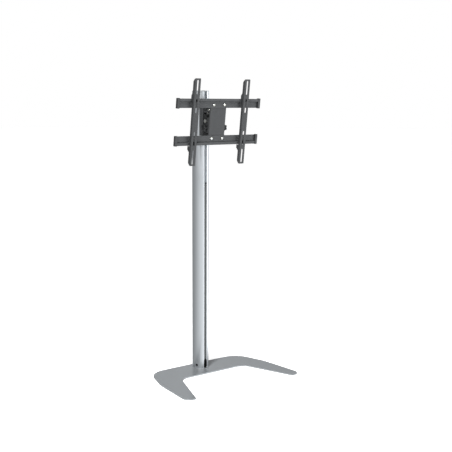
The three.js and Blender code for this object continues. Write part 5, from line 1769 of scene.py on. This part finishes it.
class STAND_OT_stage(bpy.types.Operator):
    """Sets up the pale floor, the soft studio light and the camera"""

    bl_idname = "stand.stage"
    bl_label = "Stage"

    def execute(self, context):
        scene = context.scene
        scene.view_settings.view_transform = "Standard"
        self.lay_floor()
        self.light_world(scene)
        self.add_key_light(scene)
        camera = bpy.data.objects.new("camera", bpy.data.cameras.new("camera"))
        scene.collection.objects.link(camera)
        camera.location = CAMERA_PLACE
        heading = Matrix.Rotation(-CAMERA_HEADING, 3, "Z")
        level = heading @ Matrix.Rotation(math.pi / 2 - CAMERA_PITCH, 3, "X")
        camera.rotation_euler = (level @ Matrix.Rotation(CAMERA_ROLL, 3, "Z")).to_euler()
        camera.data.sensor_width = CAMERA_SENSOR
        camera.data.lens = CAMERA_LENS
        camera.data.clip_end = 4 * FLOOR_RADIUS
        scene.camera = camera
        return {"FINISHED"}

    def lay_floor(self):
        """A pale matt floor that glows, so that it stays near white where the light falls off."""
        ground = solid("plan", [circle(0, 0, FLOOR_RADIUS, FLOOR_SIDES)], -FLOOR_DEPTH, 0)
        floor = new_object("floor", ground)
        floor.visible_glossy = False
        material, tree, place = new_finish("Pale studio floor")
        patches = {"Vector": place, "Scale": 1 / FLOOR_PATCH, "Detail": 2.0}
        cloud = add_node(tree, "ShaderNodeTexNoise", inputs=patches)
        ramp = add_node(tree, "ShaderNodeValToRGB", inputs={"Fac": cloud})
        set_tones(ramp, *((tone, tone, tone) for tone in FLOOR_TONES))
        glow = {"Emission Color": (1, 1, 1, 1), "Emission Strength": FLOOR_GLOW}
        end_finish(tree, {"Base Color": ramp, "Roughness": 0.9, **glow})
        ground.materials.append(material)

    def light_world(self, scene):
        """White to the eye. For light, a low wall, a bright panel on the right and a pale backdrop."""
        world = bpy.data.worlds.new("studio")
        scene.world = world
        world.use_nodes = True
        tree = world.node_tree
        tree.nodes.clear()
        direction = add_node(tree, "ShaderNodeTexCoord").outputs["Generated"]
        x, y, z = add_node(tree, "ShaderNodeSeparateXYZ", inputs={0: direction}).outputs
        level = add_node(tree, "ShaderNodeCombineXYZ", inputs={"X": x, "Y": y})
        bearing = add_node(tree, "ShaderNodeVectorMath", {"operation": "NORMALIZE"}, {0: level})
        wall_side = (math.cos(WALL_BRIGHT_SIDE), math.sin(WALL_BRIGHT_SIDE), 0)
        sides = {0: bearing, 1: wall_side}
        facing = add_node(tree, "ShaderNodeVectorMath", {"operation": "DOT_PRODUCT"}, sides)
        share = facing.outputs["Value"]
        turn = {"Value": share, "From Min": -1.0, "To Min": WALL_DARK, "To Max": WALL_DARK + WALL_RISE}
        around = add_node(tree, "ShaderNodeMapRange", inputs=turn)
        rise = {"Value": z, "From Min": WALL_TOP[0], "From Max": WALL_TOP[1], "To Min": 1.0, "To Max": 0.0}
        fall = add_node(tree, "ShaderNodeMapRange", inputs=rise)
        panel = self.add_glow(tree, direction, *PANEL)
        lit = add_node(tree, "ShaderNodeMath", {"operation": "ADD"}, {0: around, 1: panel})
        wall = add_node(tree, "ShaderNodeMath", {"operation": "MULTIPLY"}, {0: lit, 1: fall})
        backdrop = self.add_glow(tree, direction, *BACKDROP)
        total = add_node(tree, "ShaderNodeMath", {"operation": "ADD"}, {0: wall, 1: backdrop})
        tint = (*linear(STUDIO_TINT), 1)
        studio = add_node(tree, "ShaderNodeBackground", inputs={"Color": tint, "Strength": total})
        sky = add_node(tree, "ShaderNodeBackground", inputs={"Color": (1, 1, 1, 1), "Strength": 1.0})
        seen = add_node(tree, "ShaderNodeLightPath").outputs["Is Camera Ray"]
        mix = add_node(tree, "ShaderNodeMixShader", inputs={0: seen, 1: studio, 2: sky})
        add_node(tree, "ShaderNodeOutputWorld", inputs={"Surface": mix})

    def add_glow(self, tree, direction, side, rise, strength, focus):
        """A soft round light in the world about one direction."""
        centre = (math.cos(side) * math.cos(rise), math.sin(side) * math.cos(rise), math.sin(rise))
        pair = {0: direction, 1: centre}
        aim = add_node(tree, "ShaderNodeVectorMath", {"operation": "DOT_PRODUCT"}, pair).outputs["Value"]
        ahead = add_node(tree, "ShaderNodeMath", {"operation": "MAXIMUM"}, {0: aim, 1: 0.0})
        spot = add_node(tree, "ShaderNodeMath", {"operation": "POWER"}, {0: ahead, 1: focus})
        return add_node(tree, "ShaderNodeMath", {"operation": "MULTIPLY"}, {0: spot, 1: strength})

    def add_key_light(self, scene):
        """A square softbox, high on the left, whose shadow falls behind the foot."""
        lamp = bpy.data.lights.new("key", "AREA")
        lamp.size = KEY_SIZE
        lamp.energy = KEY_POWER
        softbox = bpy.data.objects.new("key", lamp)
        softbox.location = KEY_PLACE
        softbox.rotation_euler = Vector(KEY_PLACE).to_track_quat("Z", "Y").to_euler()
        softbox.visible_camera = False
        scene.collection.objects.link(softbox)


PIECE_OPERATORS = (
    STAND_OT_stage,
    STAND_OT_base_plate,
    STAND_OT_foot_pads,
    STAND_OT_foot_fasteners,
    STAND_OT_column,
    STAND_OT_outlet_liner,
    STAND_OT_cover_strips,
    STAND_OT_column_cap,
    STAND_OT_carriage,
    STAND_OT_swivel_pin,
    STAND_OT_swivel_head,
    STAND_OT_tilt_pivot,
    STAND_OT_knobs,
    STAND_OT_tilt_plate,
    STAND_OT_hook_rails,
    STAND_OT_arms,
    STAND_OT_safety_screws,
)


class STAND_PT_panel(bpy.types.Panel):
    """Lists the stand's sizes, colours and pieces"""

    bl_idname = "STAND_PT_panel"
    bl_label = "Floor stand"
    bl_space_type = "VIEW_3D"
    bl_region_type = "UI"
    bl_category = "Floor stand"

    def draw(self, context):
        for group in (context.scene.stand_form, context.scene.stand_finish):
            box = self.layout.box()
            for name in group.__annotations__:
                box.prop(group, name)
        column = self.layout.column(align=True)
        for operator in PIECE_OPERATORS:
            column.operator(operator.bl_idname)


CLASSES = (StandForm, StandFinish, *PIECE_OPERATORS, STAND_PT_panel)


def register():
    for made in CLASSES:
        bpy.utils.register_class(made)
    bpy.types.Scene.stand_form = PointerProperty(type=StandForm)
    bpy.types.Scene.stand_finish = PointerProperty(type=StandFinish)


def unregister():
    del bpy.types.Scene.stand_finish
    del bpy.types.Scene.stand_form
    for made in reversed(CLASSES):
        bpy.utils.unregister_class(made)


def main():
    register()
    section_tree()
    placing_tree()
    lobed_tree()
    make_finishes(bpy.context.scene.stand_finish)
    for operator in PIECE_OPERATORS:
        name = operator.bl_idname.split(".")[1]
        getattr(bpy.ops.stand, name)()


if __name__ == "__main__":
    main()
